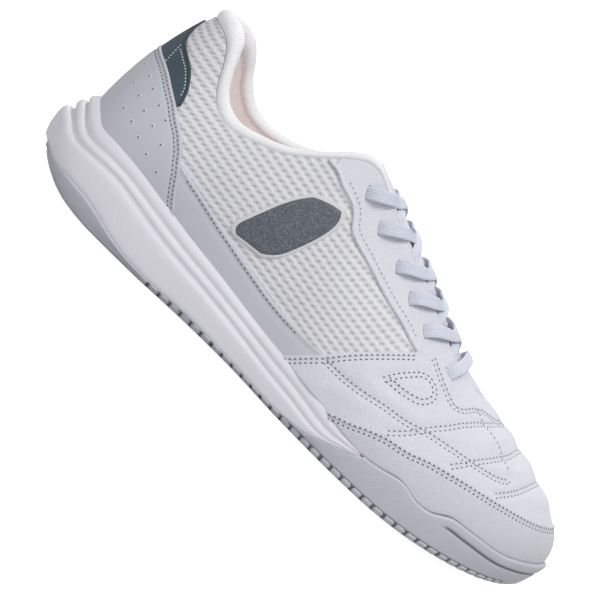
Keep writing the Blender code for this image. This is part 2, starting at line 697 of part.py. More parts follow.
def edge_share(table, rib, outside=0.0):
    """An overlay's edge read at ribs on either side; beyond the table's ends, the value given."""
    away = from_heel(np.mod(rib, RIBS))
    share = rows_through(table)(away)[:, 0]
    return np.where((away < table[0][0]) | (away > table[-1][0]), outside, share)


def columns_between(start, end, marks):
    """Ribs on the upper's own stations between two places, with an edge's corners added."""
    step = RIBS / STATIONS
    even = np.arange(np.ceil(start / step), np.floor(end / step) + 1) * step
    places = np.concatenate([[start, end], marks])
    even = even[[np.abs(places - e).min() > 0.05 for e in even]]
    return np.sort(np.concatenate([even, places]))


def round_toe(lateral):
    """Ribs of a piece that runs from one side round the toe to the other."""
    side = lateral[lateral < TOE_RIB - 0.1]
    return np.concatenate([side, [TOE_RIB], RIBS - side[::-1]])


def round_heel(lateral):
    """Ribs of a piece that runs from one side round the heel to the other."""
    side = lateral[lateral > 0.01]
    return np.concatenate([-side[::-1], [0.0], side])


def make_toe_guard():
    rib = round_toe(columns_between(GUARD_TOP[0][0] + 0.06, TOE_RIB, []))
    low = rim_share(rib)
    high = np.maximum(edge_share(GUARD_TOP, rib), low + SLIVER)
    ribs, shares = strip_grid(rib, low, high, 4)
    return overlay("toe_guard", ribs, shares, (0.70, 0.70, 0.75), 0.9)


def make_vamp():
    rear_end = VAMP_REAR[-1][0]
    marks = [6.94, 7.18, GUARD_TOP[0][0], rear_end, 8.70, 8.92, 9.06, 9.56, 9.74]
    rib = round_toe(columns_between(VAMP_REAR[0][0] + 0.06, TOE_RIB, marks))
    guard = edge_share(GUARD_TOP, rib) + EDGE_GAP
    low = np.maximum(rim_share(rib), np.where(from_heel(rib) < GUARD_TOP[0][0], 0, guard))
    rear = edge_share(VAMP_REAR, rib, 1.0)
    high = np.minimum(rear, edge_share(EYESTAY_FOOT, rib, 1.0) - EDGE_GAP)
    ribs, shares = strip_grid(rib, low, np.maximum(high, low + SLIVER), 6)
    return overlay("vamp", ribs, shares, (0.70, 0.70, 0.75), 0.9)


def side_ribs(rib, side):
    return rib if side == "lateral" else RIBS - rib


def make_eyestay():
    marks = [5.68, 6.12, 6.32, 6.50, 8.46, 8.70, 8.92, 9.06, 9.26, 9.56, 9.74, 10.14]
    rib = round_toe(columns_between(EYESTAY_FOOT[0][0], TOE_RIB, marks))
    low = edge_share(EYESTAY_FOOT, rib)
    high = 0.985 - 0.03 * ease(-from_heel(rib), -6.0, -5.4)
    ribs, shares = strip_grid(rib, low, high, 4)
    return overlay("eyestay", ribs, shares, (0.70, 0.70, 0.75), 0.9)


def make_counter():
    end = COUNTER_TOP[-1][0] - 0.06
    rib = round_heel(columns_between(0.0, end, [2.26, 2.92, 3.20, 3.30, 3.42, 3.48, 3.64, 3.84]))
    low = rim_share(rib)
    high = np.maximum(edge_share(COUNTER_TOP, rib), low + SLIVER)
    ribs, shares = strip_grid(rib, low, high, 5)
    return overlay("heel_counter", ribs, shares, (0.50, 0.52, 0.56), 0.5)


def make_heel_tab():
    rib = round_heel(np.array([0.09, 0.15, 0.30, 0.52, 0.80, 1.20, 1.60, 2.00, 2.24, 2.30]))
    low = edge_share(COUNTER_TOP, rib) + EDGE_GAP
    high = np.maximum(edge_share(TAB_TOP, rib), low + SLIVER)
    ribs, shares = strip_grid(rib, low, high, 4)
    return overlay("heel_tab", ribs, shares, (0.06, 0.11, 0.14), 0.6)


def make_rand(side):
    rib = columns_between(RAND_TOP[0][0] + 0.02, RAND_TOP[-1][0] - 0.04, [3.48, 3.64, 3.84, 3.93])
    low = np.maximum(rim_share(rib), edge_share(COUNTER_TOP, rib) + 2.4 * EDGE_GAP)
    low = np.maximum(low, edge_share(VAMP_REAR, rib) + 1.6 * EDGE_GAP)
    high = np.maximum(edge_share(RAND_TOP, rib), low + SLIVER)
    ribs, shares = strip_grid(rib, low, high, 3)
    return overlay("rand_" + side, side_ribs(ribs, side), shares, (0.50, 0.52, 0.56), 0.5)


def make_patch(side):
    edges = rows_through(PATCH_EDGES)
    t = np.linspace(0, 1, 6)
    share = PATCH_EDGES[0][0] + (PATCH_EDGES[-1][0] - PATCH_EDGES[0][0]) * t
    front_back = edges(share)
    round_off = 0.14 * (np.abs(2 * t - 1) ** 5)
    back = front_back[:, 0] + round_off
    front = front_back[:, 1] - round_off
    across = np.linspace(0, 1, 5)
    ribs = back[:, None] + (front - back)[:, None] * across
    shares = np.broadcast_to(share[:, None], ribs.shape)
    return overlay("side_patch_" + side, side_ribs(ribs, side), shares, (0.10, 0.11, 0.13), 0.5)


def tongue_line(rib, depth):
    """Points across the tongue at a pair of ribs, from under one side of the throat to the other."""
    under = GAP + throat_wall(rib, 1.0) + depth
    outer = 0.84
    rib = np.atleast_1d(rib)
    lateral_low = lifted(rib, outer, -under)
    lateral_edge = lifted(rib, 1.0, -under)
    medial_low = lifted(RIBS - rib, outer, -under)
    medial_edge = lifted(RIBS - rib, 1.0, -under)
    middle = (lateral_edge + medial_edge) / 2
    width = np.linalg.norm(lateral_edge - medial_edge, axis=1)
    middle[:, 2] += 0.11 * width
    return np.stack([
        lateral_low,
        (lateral_low + lateral_edge) / 2,
        lateral_edge * 0.94 + middle * 0.06,
        (lateral_edge + middle) / 2 + np.array([0, 0, 0.0008]),
        middle,
        (medial_edge + middle) / 2 + np.array([0, 0, 0.0008]),
        medial_edge * 0.94 + middle * 0.06,
        (medial_low + medial_edge) / 2,
        medial_low,
    ], axis=1)


def make_tongue():
    rib = np.linspace(6.12, 11.0, 11)
    outer = tongue_line(rib, 0.0005)
    inner = tongue_line(rib, 0.0005 + TONGUE_THICKNESS)
    return slab("tongue", outer, inner, (0.80, 0.80, 0.79), 0.85)


def roll_size(rib):
    """Height and depth of the collar's roll, fullest at the heel."""
    away = from_heel(np.mod(rib, RIBS))
    fade = ease(away, 1.4, 5.0)
    return ROLL_HEIGHT * (1 - 0.52 * fade), ROLL_DEPTH * (1 - 0.42 * fade)


def make_collar():
    reach = int(COLLAR_END * STATIONS / RIBS)
    rib = np.arange(-reach, reach + 1) * RIBS / STATIONS
    height, depth = roll_size(rib)
    top = upper_point(rib, 1.0)
    normal = upper_normal(rib, 1.0)
    up = top - upper_point(rib, 0.97)
    up = up / np.linalg.norm(up, axis=1)[:, None]
    centre = top + up * (GAP + height / 2)[:, None] - normal * (depth / 2 - 0.0010)[:, None]
    sides = 9
    turn = np.arange(sides) * 2 * np.pi / sides
    rings = [
        centre + up * (height / 2 * np.sin(a))[:, None] + normal * (depth / 2 * np.cos(a))[:, None]
        for a in turn
    ]
    points = np.vstack(rings)
    count = len(rib)
    faces = []
    for k in range(sides):
        low = list(range(k * count, (k + 1) * count))
        nxt = (k + 1) % sides
        faces += band_faces(low, list(range(nxt * count, (nxt + 1) * count)), False)
    faces.append([k * count for k in range(sides)])
    faces.append([k * count + count - 1 for k in reversed(range(sides))])
    return make_object("collar", points, faces, (0.84, 0.84, 0.84), 0.9)


def lace_route(eyelet, end_rib, start_side):
    """Middle line of one lace run and its faces' directions: over its own edge, across, and down."""
    other = "medial" if start_side == "lateral" else "lateral"
    start = side_ribs(eyelet[0], start_side)
    edge = side_ribs(eyelet[2], start_side)
    end = side_ribs(end_rib, other)
    first = lifted(start, eyelet[1] + 0.015, LACE_LIFT)[0]
    second = lifted(edge, 0.985, LACE_LIFT + 0.0009)[0]
    last = lifted(end, 1.0, 0.0)[0]
    across = last - upper_point(edge, 1.0)[0]
    middle = (second + last) / 2 + np.array([0, 0, 0.0052])
    near_end = last - across * 0.14 + np.array([0, 0, 0.0026])
    rows = [(0.0, *first), (0.25, *second), (0.62, *middle), (1.0, *near_end)]
    out = upper_normal(start, eyelet[1])[0]
    edge_out = upper_normal(edge, 0.985)[0]
    facing = [(0.0, *out), (0.25, *edge_out), (0.62, *LACE_FACE), (1.0, *LACE_FACE)]
    t = np.linspace(0, 1, 9)
    return rows_through(rows)(t), rows_through(facing)(t)


def lace_strip(name, route, facing):
    """A flat strip along a route, its broad face turned toward the directions given."""
    ahead = np.gradient(route, axis=0)
    ahead = ahead / np.linalg.norm(ahead, axis=1)[:, None]
    across = np.cross(ahead, facing)
    across = across / np.linalg.norm(across, axis=1)[:, None]
    up = np.cross(across, ahead)
    half_w, half_t = LACE_WIDTH / 2, LACE_THICKNESS / 2
    corners = ((-half_w, -half_t), (half_w, -half_t), (half_w, half_t), (-half_w, half_t))
    rings = [route + across * w + up * t for w, t in corners]
    points = np.stack(rings, axis=1).reshape(-1, 3)
    faces = []
    for i in range(len(route) - 1):
        for k in range(4):
            a, b = i * 4 + k, i * 4 + (k + 1) % 4
            faces.append((a, b, b + 4, a + 4))
    faces.append((3, 2, 1, 0))
    end = (len(route) - 1) * 4
    faces.append((end, end + 1, end + 2, end + 3))
    return make_object(name, points, faces, (0.66, 0.69, 0.78), 0.8)


def join_pair(name, first, second):
    """Two crossing strips joined into one solid."""
    cut = first.modifiers.new("join", "BOOLEAN")
    cut.operation = "UNION"
    cut.object = second
    SHOE.objects.unlink(second)
    CUTTERS.objects.link(second)
    second.hide_render = True
    second.display_type = "WIRE"
    first.name = name
    return first


def make_laces():
    for k in range(len(EYELETS) - 1):
        near = EYELETS[k][2]
        far = EYELETS[k + 1][2]
        toward_toe = near + (far - near) * LACE_REACH
        name = f"lace_cross_{k + 1}"
        one = lace_strip(name, *lace_route(EYELETS[k], toward_toe, "lateral"))
        two = lace_strip(name + "_under", *lace_route(EYELETS[k], toward_toe, "medial"))
        join_pair(name, one, two)
    last, share, edge = EYELETS[-1]
    rows = [(0, *lifted(last, share, LACE_LIFT)[0])]
    facing = [(0, *upper_normal(last, share)[0])]
    rows.append((0.22, *lifted(edge, 0.99, LACE_LIFT + 0.0006)[0]))
    facing.append((0.22, *upper_normal(edge, 0.99)[0]))
    across_top = (np.array(rows[1][1:]) + lifted(RIBS - edge, 0.99, LACE_LIFT + 0.0006)[0]) / 2
    rows.append((0.5, *(across_top + np.array([0, 0, 0.0018]))))
    facing.append((0.5, *LACE_FACE))
    rows.append((0.78, *lifted(RIBS - edge, 0.99, LACE_LIFT + 0.0006)[0]))
    facing.append((0.78, *upper_normal(RIBS - edge, 0.99)[0]))
    rows.append((1, *lifted(RIBS - last, share, LACE_LIFT)[0]))
    facing.append((1, *upper_normal(RIBS - last, share)[0]))
    t = np.linspace(0, 1, 11)
    lace_strip("lace_bar", rows_through(rows)(t), rows_through(facing)(t))


def collection(name):
    made = bpy.data.collections.new(name)
    bpy.context.scene.collection.children.link(made)
    return made


for old in list(bpy.data.objects):
    bpy.data.objects.remove(old, do_unlink=True)

SHOE = collection("indoor_soccer_shoe")
CUTTERS = collection("cutters")
CUTTERS.hide_render = True


def main():
    make_outsole()
    make_midsole()
    make_insole()
    make_upper()
    make_tongue()
    make_collar()
    make_toe_guard()
    make_vamp()
    make_eyestay()
    make_counter()
    make_heel_tab()
    for side in ("lateral", "medial"):
        make_rand(side)
        make_patch(side)
    make_laces()


main()
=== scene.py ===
"""Looks of the indoor soccer shoe: knit quarter, suede overlays, stitching, laces, foam and rubber."""

import math

import bpy
import numpy as np
from mathutils import Matrix, Vector


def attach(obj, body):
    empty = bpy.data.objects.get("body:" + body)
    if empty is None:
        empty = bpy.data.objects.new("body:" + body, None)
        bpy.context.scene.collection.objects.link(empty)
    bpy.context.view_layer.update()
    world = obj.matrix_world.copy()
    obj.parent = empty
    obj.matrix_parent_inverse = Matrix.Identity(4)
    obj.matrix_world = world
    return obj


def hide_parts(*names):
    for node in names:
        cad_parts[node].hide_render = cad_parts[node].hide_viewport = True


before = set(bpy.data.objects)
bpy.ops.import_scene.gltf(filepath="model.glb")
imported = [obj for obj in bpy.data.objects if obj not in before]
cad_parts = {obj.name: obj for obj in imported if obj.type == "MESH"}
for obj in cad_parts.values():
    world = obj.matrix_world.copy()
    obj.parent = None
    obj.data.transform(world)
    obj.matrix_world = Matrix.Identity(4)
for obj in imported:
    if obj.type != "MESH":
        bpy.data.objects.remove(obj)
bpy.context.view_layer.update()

# Driving sizes, as in the part's source
LENGTH = 0.288
BALL_WIDTH = 0.104
HEEL_WIDTH = 0.072
HEEL_HEIGHT = 0.1075
INSTEP_HEIGHT = 0.1055
SOLE_HEIGHT = 0.0414
TOE_SPRING = 0.011
UPPER_WALL = 0.0022
COLLAR_WALL = 0.0038
RUBBER_WALL = 0.0022
FOOT_TUCK = 0.0012
INSOLE_THICKNESS = 0.0042
TONGUE_THICKNESS = 0.0034
LACE_WIDTH = 0.0058
LACE_THICKNESS = 0.0013
GAP = 0.0003
LUG_PITCH = 0.0061
TREAD_BORDER = 0.0045
TREAD_DEPTH = 0.0013
RIBS = 24
TOE_RIB = 12
FOAM_END_RIB = 8.28

# Rounding of the heel's rear edge
HEEL_BEVEL = 0.0014
HEEL_ROLL = 0.046
HEEL_RISE = 0.0052

# Thickness of the laid-on panels
SUEDE = 0.0014
GUARD_SUEDE = 0.0021
THROAT_SUEDE = 0.0009
COUNTER_SKIN = 0.0014
TAB_SKIN = 0.0009
RAND_SKIN = 0.0010

# Walls of the thin sheets
KNIT_WALL = 0.0009
LINING_WALL = 0.0007
PANEL_WALL = 0.0004
INSOLE_WALL = 0.0030

# Distance from one stitch to the next
STITCH_PITCH = 0.0023
COUNTER_PITCH = 0.0019
TAB_PITCH = 0.0015

# Half sizes of the beads: along, across and outward; a stitch's and a hole's length in pitches
STITCH_BEAD = (0.34, 0.00034, 0.00026)
NEEDLE_BEAD = (0.26, 0.00040, 0.00015)
VENT_RIM_BEAD = (0.00105, 0.00105, 0.00016)
VENT_BEAD = (0.00066, 0.00066, 0.00022)
SLOT_BEAD = (0.0009, 0.0034, 0.00028)

# How far the panels reach below the sole's rim
RIM_OVERLAP = 0.0012
COUNTER_OVERLAP = 0.0014

# Lugs along the sole's edge and pads under it
LUG_HEIGHT = 0.0027
LUG_HALF_WIDTH = 0.00245
PAD_ROW = 0.0058
PAD_COLUMN = 0.0066
PAD_RADIUS = 0.0028
PAD_MARGIN = 0.0032
PAD_HALF_HEIGHT = TREAD_DEPTH * 0.62

# Edges that turn by more than this stay sharp
FACET = math.radians(50)
UP = np.array([0.0, 0.0, 1.0])

# Outline of the sole. Columns: rib, x as a share of LENGTH, y as a share of the width there
OUTLINE = (
    (0, 0.000, 0.000), (1, 0.025, -0.243), (2, 0.078, -0.412), (3, 0.155, -0.482),
    (4, 0.250, -0.492), (5, 0.350, -0.452), (6, 0.450, -0.418), (7, 0.550, -0.445),
    (8, 0.650, -0.486), (9, 0.750, -0.490), (10, 0.852, -0.420), (11, 0.950, -0.212),
    (12, 1.000, 0.085), (13, 0.955, 0.338), (14, 0.862, 0.450), (15, 0.762, 0.468),
    (16, 0.660, 0.420), (17, 0.555, 0.340), (18, 0.450, 0.292), (19, 0.350, 0.350),
    (20, 0.250, 0.445), (21, 0.155, 0.482), (22, 0.078, 0.412), (23, 0.025, 0.243),
)

# Columns: rib, rubber's lower edge (share of TOE_SPRING), rubber's upper edge (share of SOLE_HEIGHT)
RUBBER_EDGES = (
    (0.0, 0.10, 0.338), (0.8, 0.07, 0.330), (1.4, 0.03, 0.280), (2.0, 0.01, 0.264),
    (2.9, 0.00, 0.217), (3.3, 0.00, 0.150), (3.7, 0.00, 0.092), (4.1, 0.00, 0.072),
    (5.0, 0.06, 0.097), (6.0, 0.06, 0.078), (7.0, 0.00, 0.074), (7.4, 0.00, 0.115),
    (8.0, 0.00, 0.276), (8.4, 0.01, 0.372), (8.6, 0.02, 0.400), (8.95, 0.05, 0.450),
    (9.35, 0.12, 0.400), (9.55, 0.17, 0.415), (9.85, 0.26, 0.512), (10.2, 0.37, 0.529),
    (10.8, 0.62, 0.543), (11.2, 0.79, 0.590), (11.6, 0.93, 0.642), (12.0, 1.00, 0.676),
)

# Columns: rib, rim and floor (shares of SOLE_HEIGHT), inset of the upper's foot (share of BALL_WIDTH)
CUP = (
    (0.0, 1.000, 0.700, 0.098), (0.7, 0.975, 0.698, 0.090), (1.3, 0.915, 0.694, 0.074),
    (1.65, 0.866, 0.690, 0.064), (2.4, 0.862, 0.684, 0.057), (3.0, 0.838, 0.672, 0.055),
    (3.6, 0.775, 0.630, 0.053), (4.0, 0.722, 0.585, 0.052), (5.0, 0.620, 0.480, 0.050),
    (6.0, 0.520, 0.385, 0.047), (7.0, 0.466, 0.305, 0.043), (7.4, 0.438, 0.280, 0.042),
    (7.65, 0.404, 0.268, 0.041), (8.4, 0.372, 0.245, 0.040), (9.0, 0.425, 0.242, 0.040),
    (9.4, 0.376, 0.252, 0.040), (9.8, 0.470, 0.285, 0.040), (10.2, 0.500, 0.320, 0.040),
    (10.8, 0.518, 0.385, 0.040), (11.4, 0.590, 0.450, 0.040), (12.0, 0.650, 0.483, 0.040),
)

# Columns: rib, insets of the bottom edge and of the rubber's upper edge, heights of the foam's grooves
SIDE = (
    (0.0, 0.135, 0.028, 0.60, 0.80), (0.7, 0.125, 0.024, 0.58, 0.76), (1.4, 0.096, 0.018, 0.52, 0.69),
    (2.0, 0.070, 0.014, 0.55, 0.70), (3.0, 0.046, 0.010, 0.62, 0.75), (4.0, 0.034, 0.008, 0.63, 0.77),
    (5.0, 0.030, 0.006, 0.59, 0.75), (5.7, 0.030, 0.006, 0.565, 0.75), (6.35, 0.029, 0.006, 0.50, 0.706),
    (7.0, 0.028, 0.006, 0.43, 0.65), (7.4, 0.028, 0.005, 0.29, 0.54), (7.7, 0.028, 0.005, 0.16, 0.44),
    (8.4, 0.028, 0.005, 0.12, 0.42), (10.0, 0.032, 0.005, 0.12, 0.42), (11.0, 0.045, 0.006, 0.12, 0.42),
    (12.0, 0.058, 0.008, 0.12, 0.42),
)

# Top line of the upper. Columns: rib, x share of LENGTH, y share of BALL_WIDTH, z share of the height
TOP_LINE = (
    (0.0, 0.0740, 0.000, 0.933), (0.6, 0.0868, -0.102, 0.929), (1.1, 0.1042, -0.158, 0.920),
    (1.5, 0.1215, -0.190, 0.889), (1.9, 0.1354, -0.212, 0.834), (2.3, 0.1510, -0.231, 0.762),
    (2.8, 0.1736, -0.250, 0.702), (3.2, 0.1979, -0.262, 0.683), (3.6, 0.2222, -0.268, 0.692),
    (4.0, 0.2500, -0.271, 0.719), (4.5, 0.2917, -0.264, 0.771), (5.0, 0.3333, -0.243, 0.856),
    (5.5, 0.3681, -0.217, 0.940), (5.9, 0.3924, -0.195, 0.975), (6.2, 0.4125, -0.177, 0.973),
    (6.5, 0.4340, -0.157, 0.944), (7.0, 0.4774, -0.133, 0.886), (8.0, 0.5625, -0.125, 0.780),
    (9.0, 0.6389, -0.115, 0.676), (10.0, 0.7014, -0.096, 0.607), (11.0, 0.7378, -0.048, 0.583),
    (12.0, 0.7517, 0.034, 0.580), (13.0, 0.7378, 0.115, 0.583), (14.0, 0.7014, 0.165, 0.607),
    (15.0, 0.6389, 0.181, 0.676), (16.0, 0.5625, 0.188, 0.777), (17.0, 0.4774, 0.192, 0.876),
    (17.5, 0.4340, 0.206, 0.921), (17.8, 0.4125, 0.219, 0.933), (18.1, 0.3924, 0.231, 0.925),
    (18.5, 0.3681, 0.244, 0.882), (19.0, 0.3333, 0.260, 0.809), (19.5, 0.2917, 0.273, 0.753),
    (20.0, 0.2500, 0.277, 0.723), (20.4, 0.2222, 0.273, 0.719), (20.8, 0.1979, 0.265, 0.733),
    (21.2, 0.1736, 0.252, 0.777), (21.7, 0.1510, 0.233, 0.844), (22.1, 0.1354, 0.213, 0.880),
    (22.5, 0.1215, 0.190, 0.904), (22.9, 0.1042, 0.158, 0.921), (23.4, 0.0868, 0.102, 0.929),
)

# Columns: rib, lower handle out and up, upper handle out and down
BENDS = (
    (0, 0.021, 0.30, 0.089, 0.33), (1, 0.032, 0.31, 0.072, 0.34), (2, 0.044, 0.32, 0.060, 0.34),
    (3, 0.050, 0.36, 0.060, 0.34), (4, 0.050, 0.34, 0.060, 0.34), (5, 0.040, 0.33, 0.068, 0.36),
    (6, 0.036, 0.31, 0.090, 0.38), (7, 0.036, 0.30, 0.135, 0.38), (8, 0.038, 0.30, 0.175, 0.36),
    (9, 0.042, 0.33, 0.230, 0.31), (10, 0.050, 0.40, 0.290, 0.25), (11, 0.062, 0.49, 0.380, 0.24),
    (12, 0.067, 0.55, 0.438, 0.24), (13, 0.062, 0.50, 0.380, 0.23), (14, 0.052, 0.41, 0.290, 0.23),
    (15, 0.046, 0.34, 0.240, 0.28), (16, 0.044, 0.31, 0.190, 0.34), (17, 0.044, 0.31, 0.140, 0.38),
    (18, 0.044, 0.32, 0.090, 0.38), (19, 0.046, 0.34, 0.064, 0.36), (20, 0.050, 0.34, 0.060, 0.34),
    (21, 0.050, 0.35, 0.060, 0.34), (22, 0.044, 0.32, 0.060, 0.34), (23, 0.032, 0.31, 0.072, 0.34),
)

# Edges of the panels. Columns: rib counted from the heel, share of the way up the upper
GUARD_TOP = (
    (7.46, 0.090), (7.60, 0.120), (7.90, 0.170), (8.10, 0.210), (8.48, 0.270), (8.86, 0.305),
    (9.26, 0.355), (9.64, 0.380), (10.02, 0.395), (10.38, 0.400), (10.76, 0.400), (11.26, 0.392),
    (11.66, 0.392), (12.00, 0.390),
)
VAMP_REAR = (
    (6.40, 0.070), (6.72, 0.190), (6.94, 0.268), (7.18, 0.358), (7.44, 0.445), (7.72, 0.530),
    (8.00, 0.610), (8.28, 0.687), (8.46, 0.735),
)
EYESTAY_FOOT = (
    (5.46, 0.915), (5.68, 0.862), (5.92, 0.832), (6.12, 0.810), (6.22, 0.788), (6.32, 0.755),
    (6.50, 0.745), (6.88, 0.750), (7.62, 0.750), (8.00, 0.755), (8.36, 0.746), (8.46, 0.747),
    (8.70, 0.795), (8.92, 0.842), (9.02, 0.836), (9.26, 0.800), (9.42, 0.775), (9.56, 0.750),
    (9.74, 0.770), (10.14, 0.850), (10.72, 0.905), (12.00, 0.920),
)
COUNTER_TOP = (
    (0.00, 0.655), (0.76, 0.640), (1.26, 0.632), (1.66, 0.634), (2.00, 0.648), (2.26, 0.664),
    (2.66, 0.650), (2.92, 0.620), (3.20, 0.535), (3.30, 0.482), (3.48, 0.380), (3.64, 0.262),
    (3.84, 0.125), (3.93, 0.060),
)
TAB_TOP = (
    (0.00, 0.940), (0.08, 0.935), (0.14, 0.895), (0.30, 0.845), (0.52, 0.800), (0.80, 0.772),
    (1.18, 0.757), (1.50, 0.755), (1.84, 0.752), (2.10, 0.735), (2.24, 0.705), (2.30, 0.682),
)
RAND_TOP = (
    (3.40, 0.447), (3.62, 0.425), (3.98, 0.388), (4.34, 0.340), (4.68, 0.294), (5.02, 0.253),
    (5.36, 0.225), (5.70, 0.207), (6.04, 0.205), (6.40, 0.220), (6.94, 0.262),
)

# Side patch. Columns: share, rib of its rear edge, rib of its front edge
PATCH_EDGES = ((0.34, 4.56, 5.38), (0.47, 4.70, 5.62), (0.62, 4.90, 5.92), (0.76, 5.16, 6.14))

# Lacing. Columns: rib and share of the eyelet, rib where its lace passes over the throat's edge
EYELETS = (
    (6.22, 0.905, 6.70), (6.80, 0.888, 7.26), (7.46, 0.888, 7.94), (7.96, 0.872, 8.48),
    (8.52, 0.860, 9.10), (9.38, 0.862, 9.86),
)
# Each run ends this share of the way to the next pair of eyelets
LACE_REACH = 0.62
# Height of the lace's middle line over the upper
LACE_LIFT = 0.0022 + LACE_THICKNESS / 2
# The way the lace faces over the middle of the throat
LACE_FACE = (0.35, 0.0, 0.94)
# Where a lace starts behind and under its slot, and where it comes up in front of it
SLOT_BACK = 0.0026
SLOT_DEPTH = 0.0016
SLOT_FRONT = 0.0012

# Stitched lines of the vamp, as (rib, share)
QUILT_LINES = (
    ((6.98, 0.245), (7.46, 0.280), (7.84, 0.320), (8.22, 0.365), (8.62, 0.402), (9.04, 0.455),
     (9.44, 0.486), (9.82, 0.502), (10.22, 0.515), (10.52, 0.530), (10.72, 0.556), (10.78, 0.595)),
    ((8.40, 0.272), (8.50, 0.298), (8.78, 0.385), (9.08, 0.485), (9.42, 0.580), (9.84, 0.690),
     (10.40, 0.795), (11.16, 0.872), (12.00, 0.892)),
    ((9.58, 0.398), (9.74, 0.445), (10.12, 0.550), (10.58, 0.650), (10.94, 0.705), (11.50, 0.765),
     (12.00, 0.780)),
    ((10.42, 0.418), (10.62, 0.465), (11.04, 0.545), (11.44, 0.600), (11.68, 0.618), (12.00, 0.628)),
)
QUILT_LOOP = (
    (7.97, 0.462), (8.20, 0.550), (8.46, 0.630), (8.68, 0.690), (8.88, 0.718), (9.04, 0.716),
    (9.11, 0.675), (9.03, 0.620), (8.78, 0.545), (8.38, 0.492), (7.97, 0.462),
)
CENTRE_SEAM = ((10.30, 0.862), (10.38, 0.815), (10.54, 0.770), (10.68, 0.730), (10.74, 0.690),
               (10.76, 0.650), (10.78, 0.610))
TAB_SEAMS = (
    ((1.02, 0.622), (0.84, 0.700), (0.66, 0.784)),
    ((0.80, 0.744), (1.22, 0.731), (1.54, 0.731), (1.94, 0.727), (2.10, 0.702), (2.18, 0.680)),
)
PERFORATIONS = (
    (0.64, 0.525), (1.22, 0.515), (1.64, 0.515), (2.10, 0.535), (2.48, 0.555), (1.12, 0.415),
    (1.60, 0.415), (2.04, 0.420), (2.44, 0.440), (2.86, 0.420), (1.68, 0.295), (2.10, 0.310),
    (2.48, 0.295), (2.84, 0.265), (3.20, 0.235),
)


# Form of the last and the sole

def rows_through(rows, closed_after=None):
    """A smooth curve through table rows; the first column is the place, the others are values."""
    table = np.array(rows, dtype=float)
    if closed_after is not None:
        before = table[-3:].copy()
        before[:, 0] -= closed_after
        after = table[:3].copy()
        after[:, 0] += closed_after
        table = np.vstack([before, table, after])
    places = table[:, 0]
    values = table[:, 1:]
    steps = np.diff(places)[:, None]
    rates = np.diff(values, axis=0) / steps
    slopes = np.zeros_like(values)
    slopes[1:-1] = (steps[1:] * rates[:-1] + steps[:-1] * rates[1:]) / (steps[1:] + steps[:-1])
    if closed_after is None and len(places) > 2:
        slopes[0] = rates[0]
        slopes[-1] = rates[-1]

    def at(place):
        place = np.atleast_1d(np.asarray(place, dtype=float))
        if closed_after is not None:
            place = np.mod(place, closed_after)
        place = np.clip(place, places[0], places[-1])
        left = np.clip(np.searchsorted(places, place, side="right") - 1, 0, len(places) - 2)
        step = steps[left]
        t = ((place - places[left])[:, None]) / step
        return (
            values[left] * (1 + 2 * t) * (1 - t) ** 2
            + values[left + 1] * t**2 * (3 - 2 * t)
            + slopes[left] * step * t * (1 - t) ** 2
            - slopes[left + 1] * step * t**2 * (1 - t)
        )

    return at


def mirrored(rows):
    """Rows for the outer side, continued for the inner side back to the heel."""
    back = [(RIBS - row[0],) + tuple(row[1:]) for row in reversed(rows[1:-1])]
    return tuple(rows) + tuple(back)


outline_shares = rows_through(OUTLINE, RIBS)
rubber_shares = rows_through(mirrored(RUBBER_EDGES), RIBS)
cup_shares = rows_through(mirrored(CUP), RIBS)
side_shares = rows_through(mirrored(SIDE), RIBS)
top_shares = rows_through(TOP_LINE, RIBS)
bend_shares = rows_through(BENDS, RIBS)


def ease(value, start, end):
    """0 before start and 1 after end, with a soft change between."""
    t = np.clip((value - start) / (end - start), 0, 1)
    return t * t * (3 - 2 * t)


def from_heel(rib):
    """The rib counted from the heel on either side."""
    rib = np.mod(rib, RIBS)
    return np.minimum(rib, RIBS - rib)


def outline(rib):
    x, y = outline_shares(rib).T
    width = HEEL_WIDTH + (BALL_WIDTH - HEEL_WIDTH) * ease(x, 0.22, 0.62)
    return np.stack([x * LENGTH, y * width], axis=1)


def outward(rib):
    step = 0.05
    ahead = outline(np.asarray(rib) + step) - outline(np.asarray(rib) - step)
    normal = np.stack([ahead[:, 1], -ahead[:, 0]], axis=1)
    return normal / np.linalg.norm(normal, axis=1)[:, None]


STATION_PLAN = outline(np.arange(54) * RIBS / 54)
MIDDLE = np.array([LENGTH / 2, (STATION_PLAN[:, 1].min() + STATION_PLAN[:, 1].max()) / 2, 0.0])


def edge_point(rib, inset, height):
    rib = np.atleast_1d(np.asarray(rib, dtype=float))
    plan = outline(rib) - outward(rib) * np.broadcast_to(inset, rib.shape)[:, None]
    return np.column_stack([plan, np.broadcast_to(height, rib.shape)])


def rubber_bottom(rib):
    """Height of the tread: the toe springs up and the rear edge of the heel is rounded off."""
    from_rear = np.clip(outline_shares(rib)[:, 0] * LENGTH / HEEL_ROLL, 0, 1)
    return np.maximum(rubber_shares(rib)[:, 0] * TOE_SPRING, 0) + HEEL_RISE * (1 - from_rear) ** 1.5


def rubber_top(rib):
    return rubber_shares(rib)[:, 1] * SOLE_HEIGHT


def rim_height(rib):
    return cup_shares(rib)[:, 0] * SOLE_HEIGHT


def floor_height(rib):
    return cup_shares(rib)[:, 1] * SOLE_HEIGHT


def foot_inset(rib):
    return cup_shares(rib)[:, 2] * BALL_WIDTH + FOOT_TUCK


def top_point(rib):
    x, y, z = top_shares(rib).T
    height = HEEL_HEIGHT + (INSTEP_HEIGHT - HEEL_HEIGHT) * ease(x, 0.12, 0.30)
    return np.column_stack([x * LENGTH, y * BALL_WIDTH, z * height])


